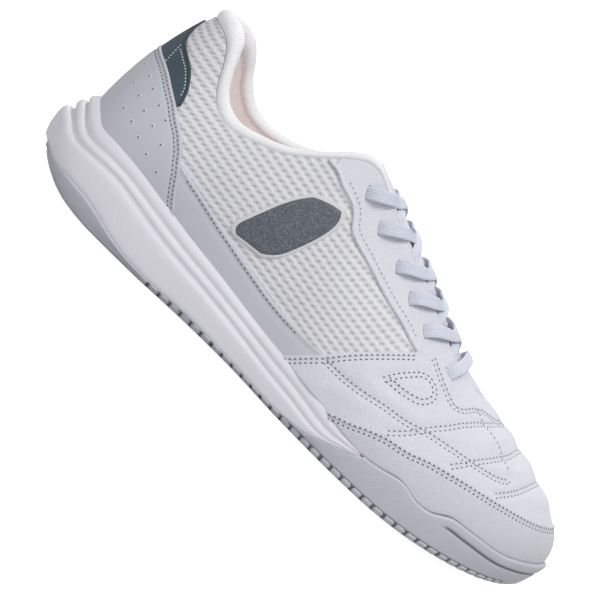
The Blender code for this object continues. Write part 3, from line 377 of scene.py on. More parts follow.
def upper_point(rib, share):
    """A point of the upper's surface, from its place round the sole and its share of the way up."""
    rib, share = np.broadcast_arrays(np.asarray(rib, dtype=float), np.asarray(share, dtype=float))
    rib = rib.ravel()
    share = share.ravel()[:, None]
    foot = edge_point(rib, foot_inset(rib), floor_height(rib) + GAP)
    top = top_point(rib)
    low_out, low_up, high_out, high_down = bend_shares(rib).T
    rise = (top - foot)[:, 2]
    normal = outward(rib)
    away = (foot - top)[:, :2] + normal * 0.12 * BALL_WIDTH
    away = away / np.linalg.norm(away, axis=1)[:, None]
    low = foot + np.column_stack([normal * (low_out * BALL_WIDTH)[:, None], low_up * rise])
    high = top + np.column_stack([away * (high_out * BALL_WIDTH)[:, None], -high_down * rise])
    return (
        foot * (1 - share) ** 3
        + low * 3 * share * (1 - share) ** 2
        + high * 3 * share**2 * (1 - share)
        + top * share**3
    )


def upper_normal(rib, share):
    rib, share = np.broadcast_arrays(np.asarray(rib, dtype=float), np.asarray(share, dtype=float))
    rib = rib.ravel()
    share = share.ravel()
    around = upper_point(rib + 0.04, share) - upper_point(rib - 0.04, share)
    up = upper_point(rib, share + 0.01) - upper_point(rib, share - 0.01)
    normal = np.cross(around, up)
    return normal / np.linalg.norm(normal, axis=1)[:, None]


def lifted(rib, share, lift):
    lift = np.broadcast_to(np.asarray(lift, dtype=float), np.broadcast(rib, share).shape).ravel()
    return upper_point(rib, share) + upper_normal(rib, share) * lift[:, None]


def share_at_height(rib, height):
    rib = np.atleast_1d(np.asarray(rib, dtype=float))
    low = np.zeros(rib.shape)
    high = np.full(rib.shape, 0.6)
    for _ in range(22):
        middle = (low + high) / 2
        under = upper_point(rib, middle)[:, 2] < height
        low = np.where(under, middle, low)
        high = np.where(under, high, middle)
    return high


def sole_rim(rib):
    """Highest point of the sole's visible edge."""
    return np.maximum(rim_height(rib), rubber_top(rib))


def edge_share(table, rib, outside=0.0):
    """Share of a panel's edge at each rib, on either side of the shoe."""
    away = from_heel(rib)
    share = rows_through(table)(away)[:, 0]
    return np.where((away < table[0][0]) | (away > table[-1][0]), outside, share)


def throat_wall(rib, share):
    """Thickness of the upper, padded towards the collar."""
    padded = 1 - ease(from_heel(rib), 5.4, 7.0)
    full = UPPER_WALL + (COLLAR_WALL - UPPER_WALL) * ease(share, 0.55, 0.95)
    return UPPER_WALL + (full - UPPER_WALL) * padded


# Making pieces

def select_only(piece):
    bpy.ops.object.select_all(action="DESELECT")
    piece.select_set(True)
    bpy.context.view_layer.objects.active = piece


def apply_modifier(piece, modifier):
    select_only(piece)
    bpy.ops.object.modifier_apply(modifier=modifier.name)


def finish_piece(piece, material, slot, *nodes):
    piece.data.materials.clear()
    piece.data.materials.append(material)
    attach(piece, "root")
    if nodes:
        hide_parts(*nodes)
    return piece


def edit_all(piece, operator, **settings):
    """Runs one mesh operator on the whole piece."""
    select_only(piece)
    bpy.ops.object.mode_set(mode="EDIT")
    bpy.ops.mesh.select_all(action="SELECT")
    operator(**settings)
    bpy.ops.object.mode_set(mode="OBJECT")


def join_seam(piece):
    edit_all(piece, bpy.ops.mesh.remove_doubles, threshold=1e-6)


def smooth_faces(piece):
    select_only(piece)
    bpy.ops.object.shade_smooth_by_angle(angle=FACET)


def shaped_grid(name, points, uv, closed=False):
    """A grid primitive whose rows and columns are laid on a surface; uv is in tenths of a metre."""
    rows, columns = points.shape[:2]
    bpy.ops.object.select_all(action="DESELECT")
    bpy.ops.mesh.primitive_grid_add(x_subdivisions=columns - 1, y_subdivisions=rows - 1, size=1.0)
    piece = bpy.context.object
    piece.name = name
    mesh = piece.data
    mesh.name = name
    mesh.vertices.foreach_set("co", (points - MIDDLE).reshape(-1))
    corner = np.empty(len(mesh.loops), dtype=np.int32)
    mesh.loops.foreach_get("vertex_index", corner)
    mesh.uv_layers[0].data.foreach_set("uv", uv.reshape(-1, 2)[corner].reshape(-1))
    mesh.update()
    if closed:
        join_seam(piece)
    mesh.shade_smooth()
    return piece


def close_holes(piece):
    """Open rings are closed with a face each."""
    select_only(piece)
    bpy.ops.object.mode_set(mode="EDIT")
    bpy.ops.mesh.select_all(action="DESELECT")
    bpy.ops.mesh.select_mode(type="VERT")
    bpy.ops.mesh.select_non_manifold()
    bpy.ops.mesh.fill_holes(sides=0)
    bpy.ops.object.mode_set(mode="OBJECT")


def closed_tube(name, points, uv):
    """A grid whose first and last rows meet, with a face over each end."""
    piece = shaped_grid(name, points, uv, closed=True)
    close_holes(piece)
    edit_all(piece, bpy.ops.mesh.normals_make_consistent, inside=False)
    return piece


def give_wall(piece, thickness):
    """The sheet gets a thickness on its inner side."""
    wall = piece.modifiers.new("wall", "SOLIDIFY")
    wall.thickness = thickness
    wall.offset = -1
    wall.use_even_offset = False
    apply_modifier(piece, wall)
    piece.data.shade_smooth()
    smooth_faces(piece)


def run_lengths(points):
    """Distance along a line of points, starting at 0."""
    steps = np.linalg.norm(np.diff(points, axis=0), axis=1)
    return np.concatenate([[0], np.cumsum(steps)])


def grid_uv(along, around):
    """Texture coordinates of a grid from the lengths along its columns and rows."""
    return np.stack(np.broadcast_arrays(along[None, :], around[:, None]), axis=2) * 10


def cloth_uv(ribs, shares):
    """Lengths along and up the upper in tenths of a metre, so that patterns keep their real size."""
    fine = np.linspace(-4, RIBS + 4, 801)
    along = run_lengths(upper_point(fine, 0.45))
    u = np.interp(ribs, fine, along)
    height = upper_point(ribs, np.ones_like(ribs))[:, 2] - upper_point(ribs, np.zeros_like(ribs))[:, 2]
    foot = upper_point(ribs, np.zeros_like(ribs))[:, 2]
    v = foot.reshape(ribs.shape) + shares * height.reshape(ribs.shape) * 1.12
    return np.stack([u, v], axis=2) * 10


# Distances from a panel's border at which its rounding is drawn
EDGE_STEPS = np.array([0.0, 0.00012, 0.0003, 0.00055, 0.00085, 0.0013, 0.0019, 0.0026, 0.0034, 0.0043])


def edge_round(distance, radius):
    t = np.clip(distance / radius, 0, 1)
    return np.sqrt(np.clip(1 - (1 - t) ** 2, 0, 1))


def panel(name, start, end, low_of, high_of, thickness, material, slot, nodes,
          relief=None, rows=14, rib_step=0.06):
    """A panel laid on the upper between two edges, its borders rounded down to the upper."""
    rib_metres = 0.026
    sink = 0.0004
    ends = EDGE_STEPS / rib_metres
    first = start + ends
    last = end - ends[::-1]
    inner = np.arange(first[-1] + rib_step / 2, last[0] - rib_step / 4, rib_step)
    rib = np.concatenate([first, inner, last])
    low = low_of(rib)
    high = np.maximum(high_of(rib), low + 0.004)
    reach = np.linalg.norm(upper_point(rib, high) - upper_point(rib, low), axis=1)
    steps = np.minimum(EDGE_STEPS[:, None] / reach, 0.04 * np.arange(len(EDGE_STEPS))[:, None] + 1e-4)
    middle = steps[-1] + (1 - 2 * steps[-1]) * np.linspace(0, 1, rows)[1:-1, None]
    t = np.concatenate([steps, middle, 1 - steps[::-1]])
    ribs = np.broadcast_to(rib, t.shape)
    shares = low + (high - low) * t
    away = np.minimum(t, 1 - t) * reach
    for from_end in (rib - start, end - rib):
        away = np.minimum(away, from_end * rib_metres + 1e-6)
    lift = (thickness + sink) * edge_round(away, thickness * 0.7) - sink
    points = lifted(ribs, shares, 0.0)
    if relief is not None:
        lift = lift + relief(points).reshape(lift.shape)
    points = (points + upper_normal(ribs, shares) * lift.reshape(-1, 1)).reshape(t.shape + (3,))
    piece = shaped_grid(name, points, cloth_uv(ribs, shares))
    give_wall(piece, PANEL_WALL)
    return finish_piece(piece, material, slot, *nodes)


def unit(vectors):
    return vectors / np.linalg.norm(vectors, axis=-1, keepdims=True)


def frames_along(route, facing):
    """Unit directions across a route and up from it, from the way it should face."""
    ahead = unit(np.gradient(route, axis=0))
    across = unit(np.cross(ahead, facing))
    return across, np.cross(across, ahead)


def round_section(width, height, count=14):
    turn = np.arange(count) * 2 * np.pi / count
    return [(width / 2 * math.cos(a), height / 2 * math.sin(a)) for a in turn]


def swept(name, route, facing, profile, material, slot, nodes=(), scale=1.0):
    """A closed section carried along a route. The section's points are (across, up) in metres."""
    across, upward = frames_along(route, facing)
    profile = np.array(profile + [profile[0]])
    scale = np.broadcast_to(scale, len(route))[:, None]
    points = route + (
        across * profile[:, 0][:, None, None] + upward * profile[:, 1][:, None, None]
    ) * scale
    piece = closed_tube(name, points, grid_uv(run_lengths(route), run_lengths(profile)))
    return finish_piece(piece, material, slot, *nodes)


def edge_tube(name, rib, share, lift, section, material, slot, scale=1.0):
    """A section carried along a line on the upper."""
    normal = upper_normal(rib, share)
    route = upper_point(rib, share) + normal * lift
    return swept(name, route, normal, section, material, slot, scale=scale)


def both_sides(rib, share):
    """A line on the outer side, and its counterpart on the inner side run the other way."""
    return ("lateral", rib, share), ("medial", RIBS - rib[::-1], share[::-1])


# Stitching

def at_lengths(wanted, along, rows):
    """Rows of values read off at the wanted distances along a line."""
    return np.column_stack([np.interp(wanted, along, column) for column in rows.T])


def spaced_line(places, step=0.0004):
    """A line given as (rib, share) made into evenly spaced places."""
    rows = [(i,) + tuple(p) for i, p in enumerate(places)]
    fine = rows_through(rows)(np.linspace(0, len(rows) - 1, 60 * len(rows)))
    along = run_lengths(upper_point(fine[:, 0], fine[:, 1]))
    return at_lengths(np.arange(0, along[-1], step), along, fine)


def moved_line(line, sideways):
    """The line moved sideways over the upper; positive is to the left of its run seen from outside."""
    rib, share = line.T
    point = upper_point(rib, share)
    normal = upper_normal(rib, share)
    ahead = unit(np.gradient(point, axis=0))
    side = np.cross(normal, ahead)
    by_rib = (upper_point(rib + 0.02, share) - upper_point(rib - 0.02, share)) / 0.04
    by_share = (upper_point(rib, share + 0.01) - upper_point(rib, share - 0.01)) / 0.02
    a = (by_rib * by_rib).sum(1)
    b = (by_rib * by_share).sum(1)
    c = (by_share * by_share).sum(1)
    p = (side * by_rib).sum(1) * sideways
    q = (side * by_share).sum(1) * sideways
    det = a * c - b * b
    return np.column_stack([rib + (c * p - b * q) / det, share + (a * q - b * p) / det])


def edge_line(table, start=0.0, end=RIBS):
    """The part of a panel's edge that lies between two places."""
    return spaced_line([row for row in table if start <= row[0] <= end])


def with_other_side(line):
    """The line, and the same line on the inner side, run the other way so its left stays outside."""
    turned = line[::-1].copy()
    turned[:, 0] = RIBS - turned[:, 0]
    return [line, turned]


# Rows of stitches noted so far: places, ways ahead and outward, thread, hole, pitch
MARKS = []


def stitch_line(line, lift, thread, hole, relief=None, pitch=STITCH_PITCH):
    """Notes one row of stitches; they are all made at the end, one piece for each thread."""
    for run in with_other_side(line):
        point = upper_point(run[:, 0], run[:, 1])
        normal = upper_normal(run[:, 0], run[:, 1])
        height = np.full(len(run), lift)
        if relief is not None:
            height = height + relief(point)
        along = run_lengths(point)
        wanted = np.arange(pitch * 0.5, along[-1] - pitch * 0.3, pitch)
        place = at_lengths(wanted, along, point + normal * height[:, None])
        out = unit(at_lengths(wanted, along, normal))
        ahead = np.gradient(place, axis=0) if len(place) > 1 else np.zeros_like(place)
        ahead = unit(ahead - out * (ahead * out).sum(1)[:, None])
        MARKS.append((place, ahead, out, thread, hole, pitch))


def mesh_parts(piece):
    """Vertices and faces of a piece, which is then removed."""
    verts = np.array([v.co[:] for v in piece.data.vertices])
    faces = [tuple(p.vertices) for p in piece.data.polygons]
    bpy.data.objects.remove(piece, do_unlink=True)
    return verts, faces


def bead_mesh(segments, rings):
    bpy.ops.object.select_all(action="DESELECT")
    bpy.ops.mesh.primitive_uv_sphere_add(segments=segments, ring_count=rings, radius=1.0)
    return mesh_parts(bpy.context.object)


def copies(name, bead, places, axes, material, slot):
    """One piece made of many copies of a small bead, each turned and sized by its own axes."""
    verts, faces = bead
    count = len(verts)
    points = places[:, None, :] + np.einsum("vk,nkd->nvd", verts, axes)
    mesh = bpy.data.meshes.new(name)
    all_faces = [tuple(i + k * count for i in f) for k in range(len(places)) for f in faces]
    mesh.from_pydata((points.reshape(-1, 3) - MIDDLE).tolist(), [], all_faces)
    mesh.shade_smooth()
    piece = bpy.data.objects.new(name, mesh)
    bpy.context.scene.collection.objects.link(piece)
    return finish_piece(piece, material, slot)


def bead_axes(ahead, side, out, half_sizes):
    along, across, upward = half_sizes
    return np.stack([ahead * along, side * across, out * upward], axis=1)


def make_stitches(threads, holes):
    """One piece for each thread and each kind of needle hole; the holes are dark beads of painted shade."""
    bead = bead_mesh(6, 4)
    groups = {}
    for place, ahead, out, thread, hole, pitch in MARKS:
        side = np.cross(out, ahead)
        between = place[:-1] + (place[1:] - place[:-1]) / 2
        if thread is not None and len(between):
            axes = bead_axes(ahead[:-1] * pitch, side[:-1], out[:-1], STITCH_BEAD)
            groups.setdefault(("thread", thread), []).append((between, axes))
        if hole is not None:
            axes = bead_axes(ahead * pitch, side, out, NEEDLE_BEAD)
            # Painted shade: a dark bead where each needle hole is.
            groups.setdefault(("hole", hole), []).append((place + out * 0.00003, axes))
    for (kind, name), rows in groups.items():
        places = np.vstack([r[0] for r in rows])
        axes = np.vstack([r[1] for r in rows])
        material = threads[name] if kind == "thread" else holes[name]
        copies(f"stitch_{kind}_{name}", bead, places, axes, material, "vamp")


# Colours and shared effects

def colour(code):
    """A linear colour from a web code."""
    values = [int(code[i : i + 2], 16) / 255 for i in (1, 3, 5)]
    return [v / 12.92 if v <= 0.04045 else ((v + 0.055) / 1.055) ** 2.4 for v in values]


def new_group(name, inputs, outputs):
    group = bpy.data.node_groups.new(name, "ShaderNodeTree")
    for label, value in inputs:
        kind = "NodeSocketColor" if isinstance(value, (list, tuple)) else "NodeSocketFloat"
        socket = group.interface.new_socket(label, in_out="INPUT", socket_type=kind)
        socket.default_value = (*value, 1.0) if isinstance(value, (list, tuple)) else value
    for label, kind in outputs:
        group.interface.new_socket(label, in_out="OUTPUT", socket_type=kind)
    start = group.nodes.new("NodeGroupInput")
    end = group.nodes.new("NodeGroupOutput")
    return group, start, end


class Tree:
    """Short ways to add and join nodes in one tree."""

    def __init__(self, tree):
        self.tree = tree

    def join(self, source, target):
        self.tree.links.new(source, target)

    def give(self, socket, value):
        """Sets a socket to a number or a colour, or joins another node's output to it."""
        if isinstance(value, (int, float)):
            socket.default_value = value
        elif isinstance(value, (list, tuple)):
            socket.default_value = (*value, 1.0)
        else:
            self.join(value, socket)

    def node(self, kind, values=(), **settings):
        made = self.tree.nodes.new(kind)
        for key, value in settings.items():
            setattr(made, key, value)
        for label, value in dict(values).items():
            self.give(made.inputs[label], value)
        return made

    def math(self, operation, *values, clamp=False):
        made = self.node("ShaderNodeMath", enumerate(values), operation=operation, use_clamp=clamp)
        return made.outputs[0]

    def mix(self, factor, first, second):
        made = self.node("ShaderNodeMix", {}, data_type="RGBA")
        for k, value in ((0, factor), (6, first), (7, second)):
            self.give(made.inputs[k], value)
        return made.outputs[2]

    def wave(self, place, direction, values):
        made = self.node("ShaderNodeTexWave", values, wave_type="BANDS", bands_direction=direction)
        self.join(place, made.inputs["Vector"])
        return made.outputs["Fac"]

    def place(self, kind):
        return self.node("ShaderNodeTexCoord").outputs[kind]

    def uv(self):
        """Both texture coordinates, in tenths of a metre."""
        split = self.node("ShaderNodeSeparateXYZ", {0: self.place("UV")})
        return split.outputs[0], split.outputs[1]

    def turned(self, degrees):
        """Places in the piece, turned about the y axis."""
        made = self.node("ShaderNodeMapping", {"Vector": self.place("Object")})
        made.inputs["Rotation"].default_value = (0.0, math.radians(degrees), 0.0)
        return made.outputs[0]


def make_grain_group():
    """Soft mottling and fine grain in the colour, and a height for the bump."""
    group, start, end = new_group(
        "grain",
        (("Colour", (0.8, 0.8, 0.8)), ("Fine Scale", 1500.0), ("Mottle Scale", 60.0),
         ("Fine Tone", 0.10), ("Mottle Tone", 0.06)),
        (("Colour", "NodeSocketColor"), ("Height", "NodeSocketFloat")),
    )
    t = Tree(group)
    place = t.place("Object")
    parts = []
    for label, detail in (("Fine", 3.0), ("Mottle", 2.0)):
        values = {"Vector": place, "Scale": start.outputs[f"{label} Scale"], "Detail": detail}
        noise = t.node("ShaderNodeTexNoise", values).outputs["Fac"]
        parts.append(t.math("MULTIPLY", t.math("SUBTRACT", noise, 0.5), start.outputs[f"{label} Tone"]))
        if label == "Fine":
            t.join(noise, end.inputs["Height"])
    tone = t.math("ADD", t.math("ADD", *parts), 1.0)
    scaled = t.node("ShaderNodeVectorMath", {0: start.outputs["Colour"], "Scale": tone}, operation="SCALE")
    t.join(scaled.outputs[0], end.inputs["Colour"])
    return group


GRAIN = make_grain_group()


def new_material(name, base, roughness):
    material = bpy.data.materials.new(name)
    material.use_nodes = True
    shader = material.node_tree.nodes["Principled BSDF"]
    shader.inputs["Base Color"].default_value = (*base, 1.0)
    shader.inputs["Roughness"].default_value = roughness
    return material, Tree(material.node_tree), shader


def add_grain(t, shader, base, fine_scale, fine_tone, mottle_scale=60.0, mottle_tone=0.06):
    """Grain over the base colour. The height that comes back is for the bump."""
    values = {"Colour": base, "Fine Scale": fine_scale, "Fine Tone": fine_tone,
              "Mottle Scale": mottle_scale, "Mottle Tone": mottle_tone}
    grain = t.node("ShaderNodeGroup", values, node_tree=GRAIN)
    t.join(grain.outputs["Colour"], shader.inputs["Base Color"])
    return grain.outputs["Height"]


def add_bump(t, shader, height, distance, strength=1.0):
    bump = t.node("ShaderNodeBump", {"Distance": distance, "Strength": strength, "Height": height})
    t.join(bump.outputs["Normal"], shader.inputs["Normal"])


def make_suede(name, base):
    material, t, shader = new_material(name, base, 0.92)
    add_bump(t, shader, add_grain(t, shader, base, 2300.0, 0.50, 40.0, 0.07), 0.0004, 0.6)
    shader.inputs["Sheen Weight"].default_value = 0.25
    shader.inputs["Sheen Roughness"].default_value = 0.6
    return material


def make_smooth_skin(name, base, roughness=0.46):
    material, t, shader = new_material(name, base, roughness)
    add_bump(t, shader, add_grain(t, shader, base, 2200.0, 0.05, 30.0, 0.04), 0.0001, 0.25)
    return material


def make_knit(name, base, gap_colour, pitch_u, pitch_v, depth):
    """Open spacer knit: soft ridges that run forward and a little down, with one slit in each cell."""
    lean_u, lean_v = -0.38, 0.14
    material, t, shader = new_material(name, base, 0.9)
    u, v = t.uv()
    column = t.math("MULTIPLY", t.math("ADD", t.math("MULTIPLY", v, lean_u), u), 0.1 / pitch_u)
    row = t.math("MULTIPLY", t.math("ADD", t.math("MULTIPLY", u, lean_v), v), 0.1 / pitch_v)
    swing = t.math("SINE", t.math("MULTIPLY", column, 2 * math.pi))
    row = t.math("ADD", row, t.math("MULTIPLY", swing, 0.07))
    du, dv = (t.math("ABSOLUTE", t.math("SUBTRACT", t.math("FRACT", way), 0.5)) for way in (column, row))
    far_u = t.math("POWER", t.math("MULTIPLY", du, 2.7), 2.0)
    far_v = t.math("POWER", t.math("MULTIPLY", dv, 6.6), 2.0)
    slit = t.math("MAXIMUM", t.math("SUBTRACT", t.math("SUBTRACT", 1.0, far_u), far_v), 0.0)
    valley = t.math("MULTIPLY", t.math("SUBTRACT", 0.40, dv), 4.2, clamp=True)
    eye = t.math("MULTIPLY", valley, t.math("SUBTRACT", 1.15, du))
    yarn = t.wave(t.place("UV"), "DIAGONAL", {"Scale": 52.0, "Distortion": 2.2})
    twist = t.math("MULTIPLY", t.math("SUBTRACT", 1.0, yarn), 0.17)
    dark = t.math("ADD", t.math("MULTIPLY", eye, 0.38), t.math("MULTIPLY", slit, 0.36))
    dark = t.math("ADD", dark, twist, clamp=True)
    grain = add_grain(t, shader, t.mix(dark, base, gap_colour), 2600.0, 0.20, 50.0, 0.06)
    height = t.math("SUBTRACT", t.math("MULTIPLY", yarn, 0.22), t.math("MULTIPLY", slit, 0.5))
    height = t.math("SUBTRACT", height, t.math("MULTIPLY", valley, 0.45))
    height = t.math("ADD", height, t.math("MULTIPLY", grain, 0.2))
    add_bump(t, shader, height, depth, 0.9)
    return material


def make_ribbed(name, base, ribs_per_metre, depth, tone_depth=0.12):
    """Cloth with fine ribs across the piece."""
    material, t, shader = new_material(name, base, 0.85)
    wave = t.math("SINE", t.math("MULTIPLY", t.uv()[0], ribs_per_metre * 0.1 * 2 * math.pi))
    shade = t.math("MULTIPLY_ADD", wave, 0.5, 0.5)
    darker = [c * (1 - tone_depth) for c in base]
    grain = add_grain(t, shader, t.mix(shade, darker, base), 2400.0, 0.08, 40.0, 0.04)
    add_bump(t, shader, t.math("ADD", shade, t.math("MULTIPLY", grain, 0.3)), depth, 0.8)
    return material


def make_lace_weave(name, base):
    """Flat woven lace with a fine slanted twill."""
    material, t, shader = new_material(name, base, 0.8)
    u, v = t.uv()
    lengthways = t.math("MULTIPLY", u, 2 * math.pi * 0.1 / 0.0009)
    around = t.math("MULTIPLY", v, 2 * math.pi * 0.1 / 0.0011)
    twill = t.math("SINE", t.math("ADD", lengthways, around))
    shade = t.math("MULTIPLY_ADD", twill, 0.5, 0.5)
    add_grain(t, shader, t.mix(shade, [c * 0.9 for c in base], base), 2400.0, 0.08)
    add_bump(t, shader, shade, 0.00012, 0.7)
    return material


def make_foam(name, base):
    """Moulded foam with a faint slanted wrinkle."""
    material, t, shader = new_material(name, base, 0.5)
    values = {"Scale": 180.0, "Distortion": 6.0, "Detail": 2.0, "Detail Scale": 0.6}
    wrinkle = t.wave(t.turned(38), "X", values)
    grain = add_grain(t, shader, base, 1600.0, 0.03, 25.0, 0.03)
    height = t.math("ADD", t.math("MULTIPLY", wrinkle, 0.5), t.math("MULTIPLY", grain, 0.4))
    add_bump(t, shader, height, 0.00012, 0.28)
    return material


def make_rubber(name, base, dark):
    """Rubber with a fine slanted hatch; the gaps between the lugs and the groove round the toe get painted
    shade, a darker colour.
    """
    material, t, shader = new_material(name, base, 0.55)
    hatch = t.wave(t.turned(42), "Z", {"Scale": 420.0, "Distortion": 0.6})
    # The gap attribute is painted shade: where it is high the colour turns to the darker one.
    gap = t.node("ShaderNodeAttribute", attribute_name="gap").outputs["Fac"]
    grain = add_grain(t, shader, t.mix(gap, base, dark), 1500.0, 0.05, 30.0, 0.05)
    height = t.math("ADD", t.math("MULTIPLY", hatch, 0.8), t.math("MULTIPLY", grain, 0.3))
    add_bump(t, shader, height, 0.00012, 0.5)
    return material


def make_glitter(name, base, glint_colour):
    """A film of small flakes, a few of them brighter as painted glints."""
    material, t, shader = new_material(name, base, 0.45)
    flakes = t.node("ShaderNodeTexVoronoi", {"Scale": 2900.0, "Vector": t.place("Object")})
    split = t.node("ShaderNodeSeparateColor", {0: flakes.outputs["Color"]})
    # Painted glint: flakes picked at random turn towards the brighter colour.
    light = t.math("POWER", split.outputs[0], 3.0)
    t.join(t.mix(light, base, glint_colour), shader.inputs["Base Color"])
    add_bump(t, shader, flakes.outputs["Distance"], 0.00015, 0.6)
    return material


suede = make_suede("lilac_grey_suede", colour("#D9D9E2"))
guard_suede = make_suede("toe_suede", colour("#CDCDD5"))
smooth_grey = make_smooth_skin("cool_grey_skin", colour("#C4C6CE"))
rim_highlight_grey = make_smooth_skin("rim_highlight_skin", colour("#D2D3D9"), 0.5)
tab_dark = make_smooth_skin("dark_teal_edge", colour("#2F3D46"), 0.6)
tab_teal = make_smooth_skin("teal_skin", colour("#3E4F5A"), 0.5)
knit = make_knit("spacer_knit", colour("#E9E9EC"), colour("#A9A9AE"), 0.0036, 0.0039, 0.0005)
collar_knit = make_ribbed("collar_ribs", colour("#F6F6F8"), 950.0, 0.0002, tone_depth=0.07)
lining_knit = make_ribbed("lining_weave", colour("#F8EFED"), 700.0, 0.0002, tone_depth=0.05)
# Painted light: the lining glows faintly, so that the inside of the shoe looks lit.
painted_lining_glow = lining_knit.node_tree.nodes["Principled BSDF"]
painted_lining_glow.inputs["Emission Color"].default_value = (1.0, 0.92, 0.89, 1.0)
painted_lining_glow.inputs["Emission Strength"].default_value = 0.14
tongue_cloth = make_smooth_skin("tongue_cloth", colour("#D6D6E0"), 0.75)
insole_cloth = make_ribbed("insole_cloth", colour("#DECFCC"), 900.0, 0.0002)
lace_weave = make_lace_weave("flat_lace", colour("#DADEEA"))
foam = make_foam("moulded_foam", colour("#DEDDE3"))
# The second colour is painted shade for the gaps between the lugs and the groove round the toe.
rubber = make_rubber("sole_rubber", colour("#C4C6CE"), colour("#6A6D74"))
glitter = make_glitter("glitter_film", colour("#4B5159"), colour("#7D8690"))
patch_edge = make_ribbed("satin_edge", colour("#E3E3E4"), 1400.0, 0.0002)
# Needle holes, vent holes and eyelet slots: their dark colours are painted shade in the holes.
dark_hole_shade = make_smooth_skin("needle_hole_shade", colour("#63646C"), 0.9)
soft_hole_shade = make_smooth_skin("soft_needle_hole_shade", colour("#7D7E87"), 0.9)
pale_hole_shade = make_smooth_skin("pale_needle_hole_shade", colour("#A9AAB2"), 0.9)
slot_shade = make_smooth_skin("eyelet_slot_shade", colour("#4A4D55"), 0.9)
suede_thread = make_smooth_skin("suede_thread", colour("#E0E0E7"), 0.7)
grey_thread = make_smooth_skin("grey_thread", colour("#B9BCC4"), 0.7)
light_thread = make_smooth_skin("light_thread", colour("#CBD1D4"), 0.7)
piping_edge = make_suede("folded_edge", colour("#DCDCE2"))
binding = make_ribbed("edge_binding", colour("#ECEBEA"), 1200.0, 0.0002)


# Quilting of the vamp


def line_marks(*lines):
    """Points along lines, on both sides of the shoe."""
    runs = [run for line in lines for run in with_other_side(line)]
    return np.vstack([upper_point(r[::3, 0], r[::3, 1]) for r in runs])


def nearest_gap(points, marks):
    """Distance from each point to the nearest of the marks."""
    least = np.full(len(points), 1.0)
    for k in range(0, len(marks), 400):
        chunk = marks[k : k + 400]
        least = np.minimum(least, ((points[:, None, :] - chunk[None]) ** 2).sum(2).min(1))
    return np.sqrt(least)


QUILT_MARKS = line_marks(*map(spaced_line, QUILT_LINES + (QUILT_LOOP,)))
HEM_MARKS = {
    "vamp": line_marks(edge_line(VAMP_REAR), edge_line(EYESTAY_FOOT, 8.40)),
    "guard": line_marks(edge_line(GUARD_TOP)),
    "counter": line_marks(edge_line(COUNTER_TOP)),
    "rand": line_marks(edge_line(RAND_TOP)),
}


def hem(points, edge):
    """A slightly raised rim along an edge, and a shallow trough where it is stitched."""
    gap = nearest_gap(points, HEM_MARKS[edge])
    rim = np.exp(-(((gap - 0.0008) / 0.0007) ** 2))
    trough = np.exp(-(((gap - 0.0027) / 0.0013) ** 2))
    return 0.00022 * rim - 0.00034 * trough


def hem_relief(edge, amount=1.0):
    """The relief of a panel that has only its hem."""
    return lambda points: hem(points, edge) * amount


guard_relief = hem_relief("guard")
counter_relief = hem_relief("counter")
rand_relief = hem_relief("rand", 0.7)


def vamp_relief(points):
    """Low along the quilting lines, softly filled between them and flat towards the vamp's edges."""
    nearest = nearest_gap(points, QUILT_MARKS)
    filled = 0.0012 * (1 - np.exp(-((nearest / 0.0070) ** 2)))
    grooves = 0.0007 * np.exp(-((nearest / 0.0018) ** 2))
    inside = np.minimum(nearest_gap(points, HEM_MARKS["vamp"]), nearest_gap(points, HEM_MARKS["guard"]))
    return filled * ease(inside, 0.003, 0.012) - grooves * ease(inside, 0.0, 0.003) + hem(points, "vamp")


# Upper

def make_upper_skins():
    """The knit quarter over the whole upper, and the lining inside it."""
    ribs, shares = np.meshgrid(np.linspace(0, RIBS, 361), np.linspace(0, 1, 44))
    uv = cloth_uv(ribs, shares)
    skin = lifted(ribs, shares, 0.0).reshape(ribs.shape + (3,))
    piece = shaped_grid("knit_quarter", skin, uv, closed=True)
    give_wall(piece, KNIT_WALL)
    finish_piece(piece, knit, "upper", "upper")
    depth = throat_wall(ribs, shares) - 0.0002
    inner = lifted(ribs, shares, -depth).reshape(ribs.shape + (3,))
    lining = shaped_grid("lining", inner, uv, closed=True)
    lining.data.flip_normals()
    give_wall(lining, LINING_WALL)
    finish_piece(lining, lining_knit, "upper")


def rim_low(margin):
    def low(rib):
        return share_at_height(rib, sole_rim(rib) - margin)
    return low


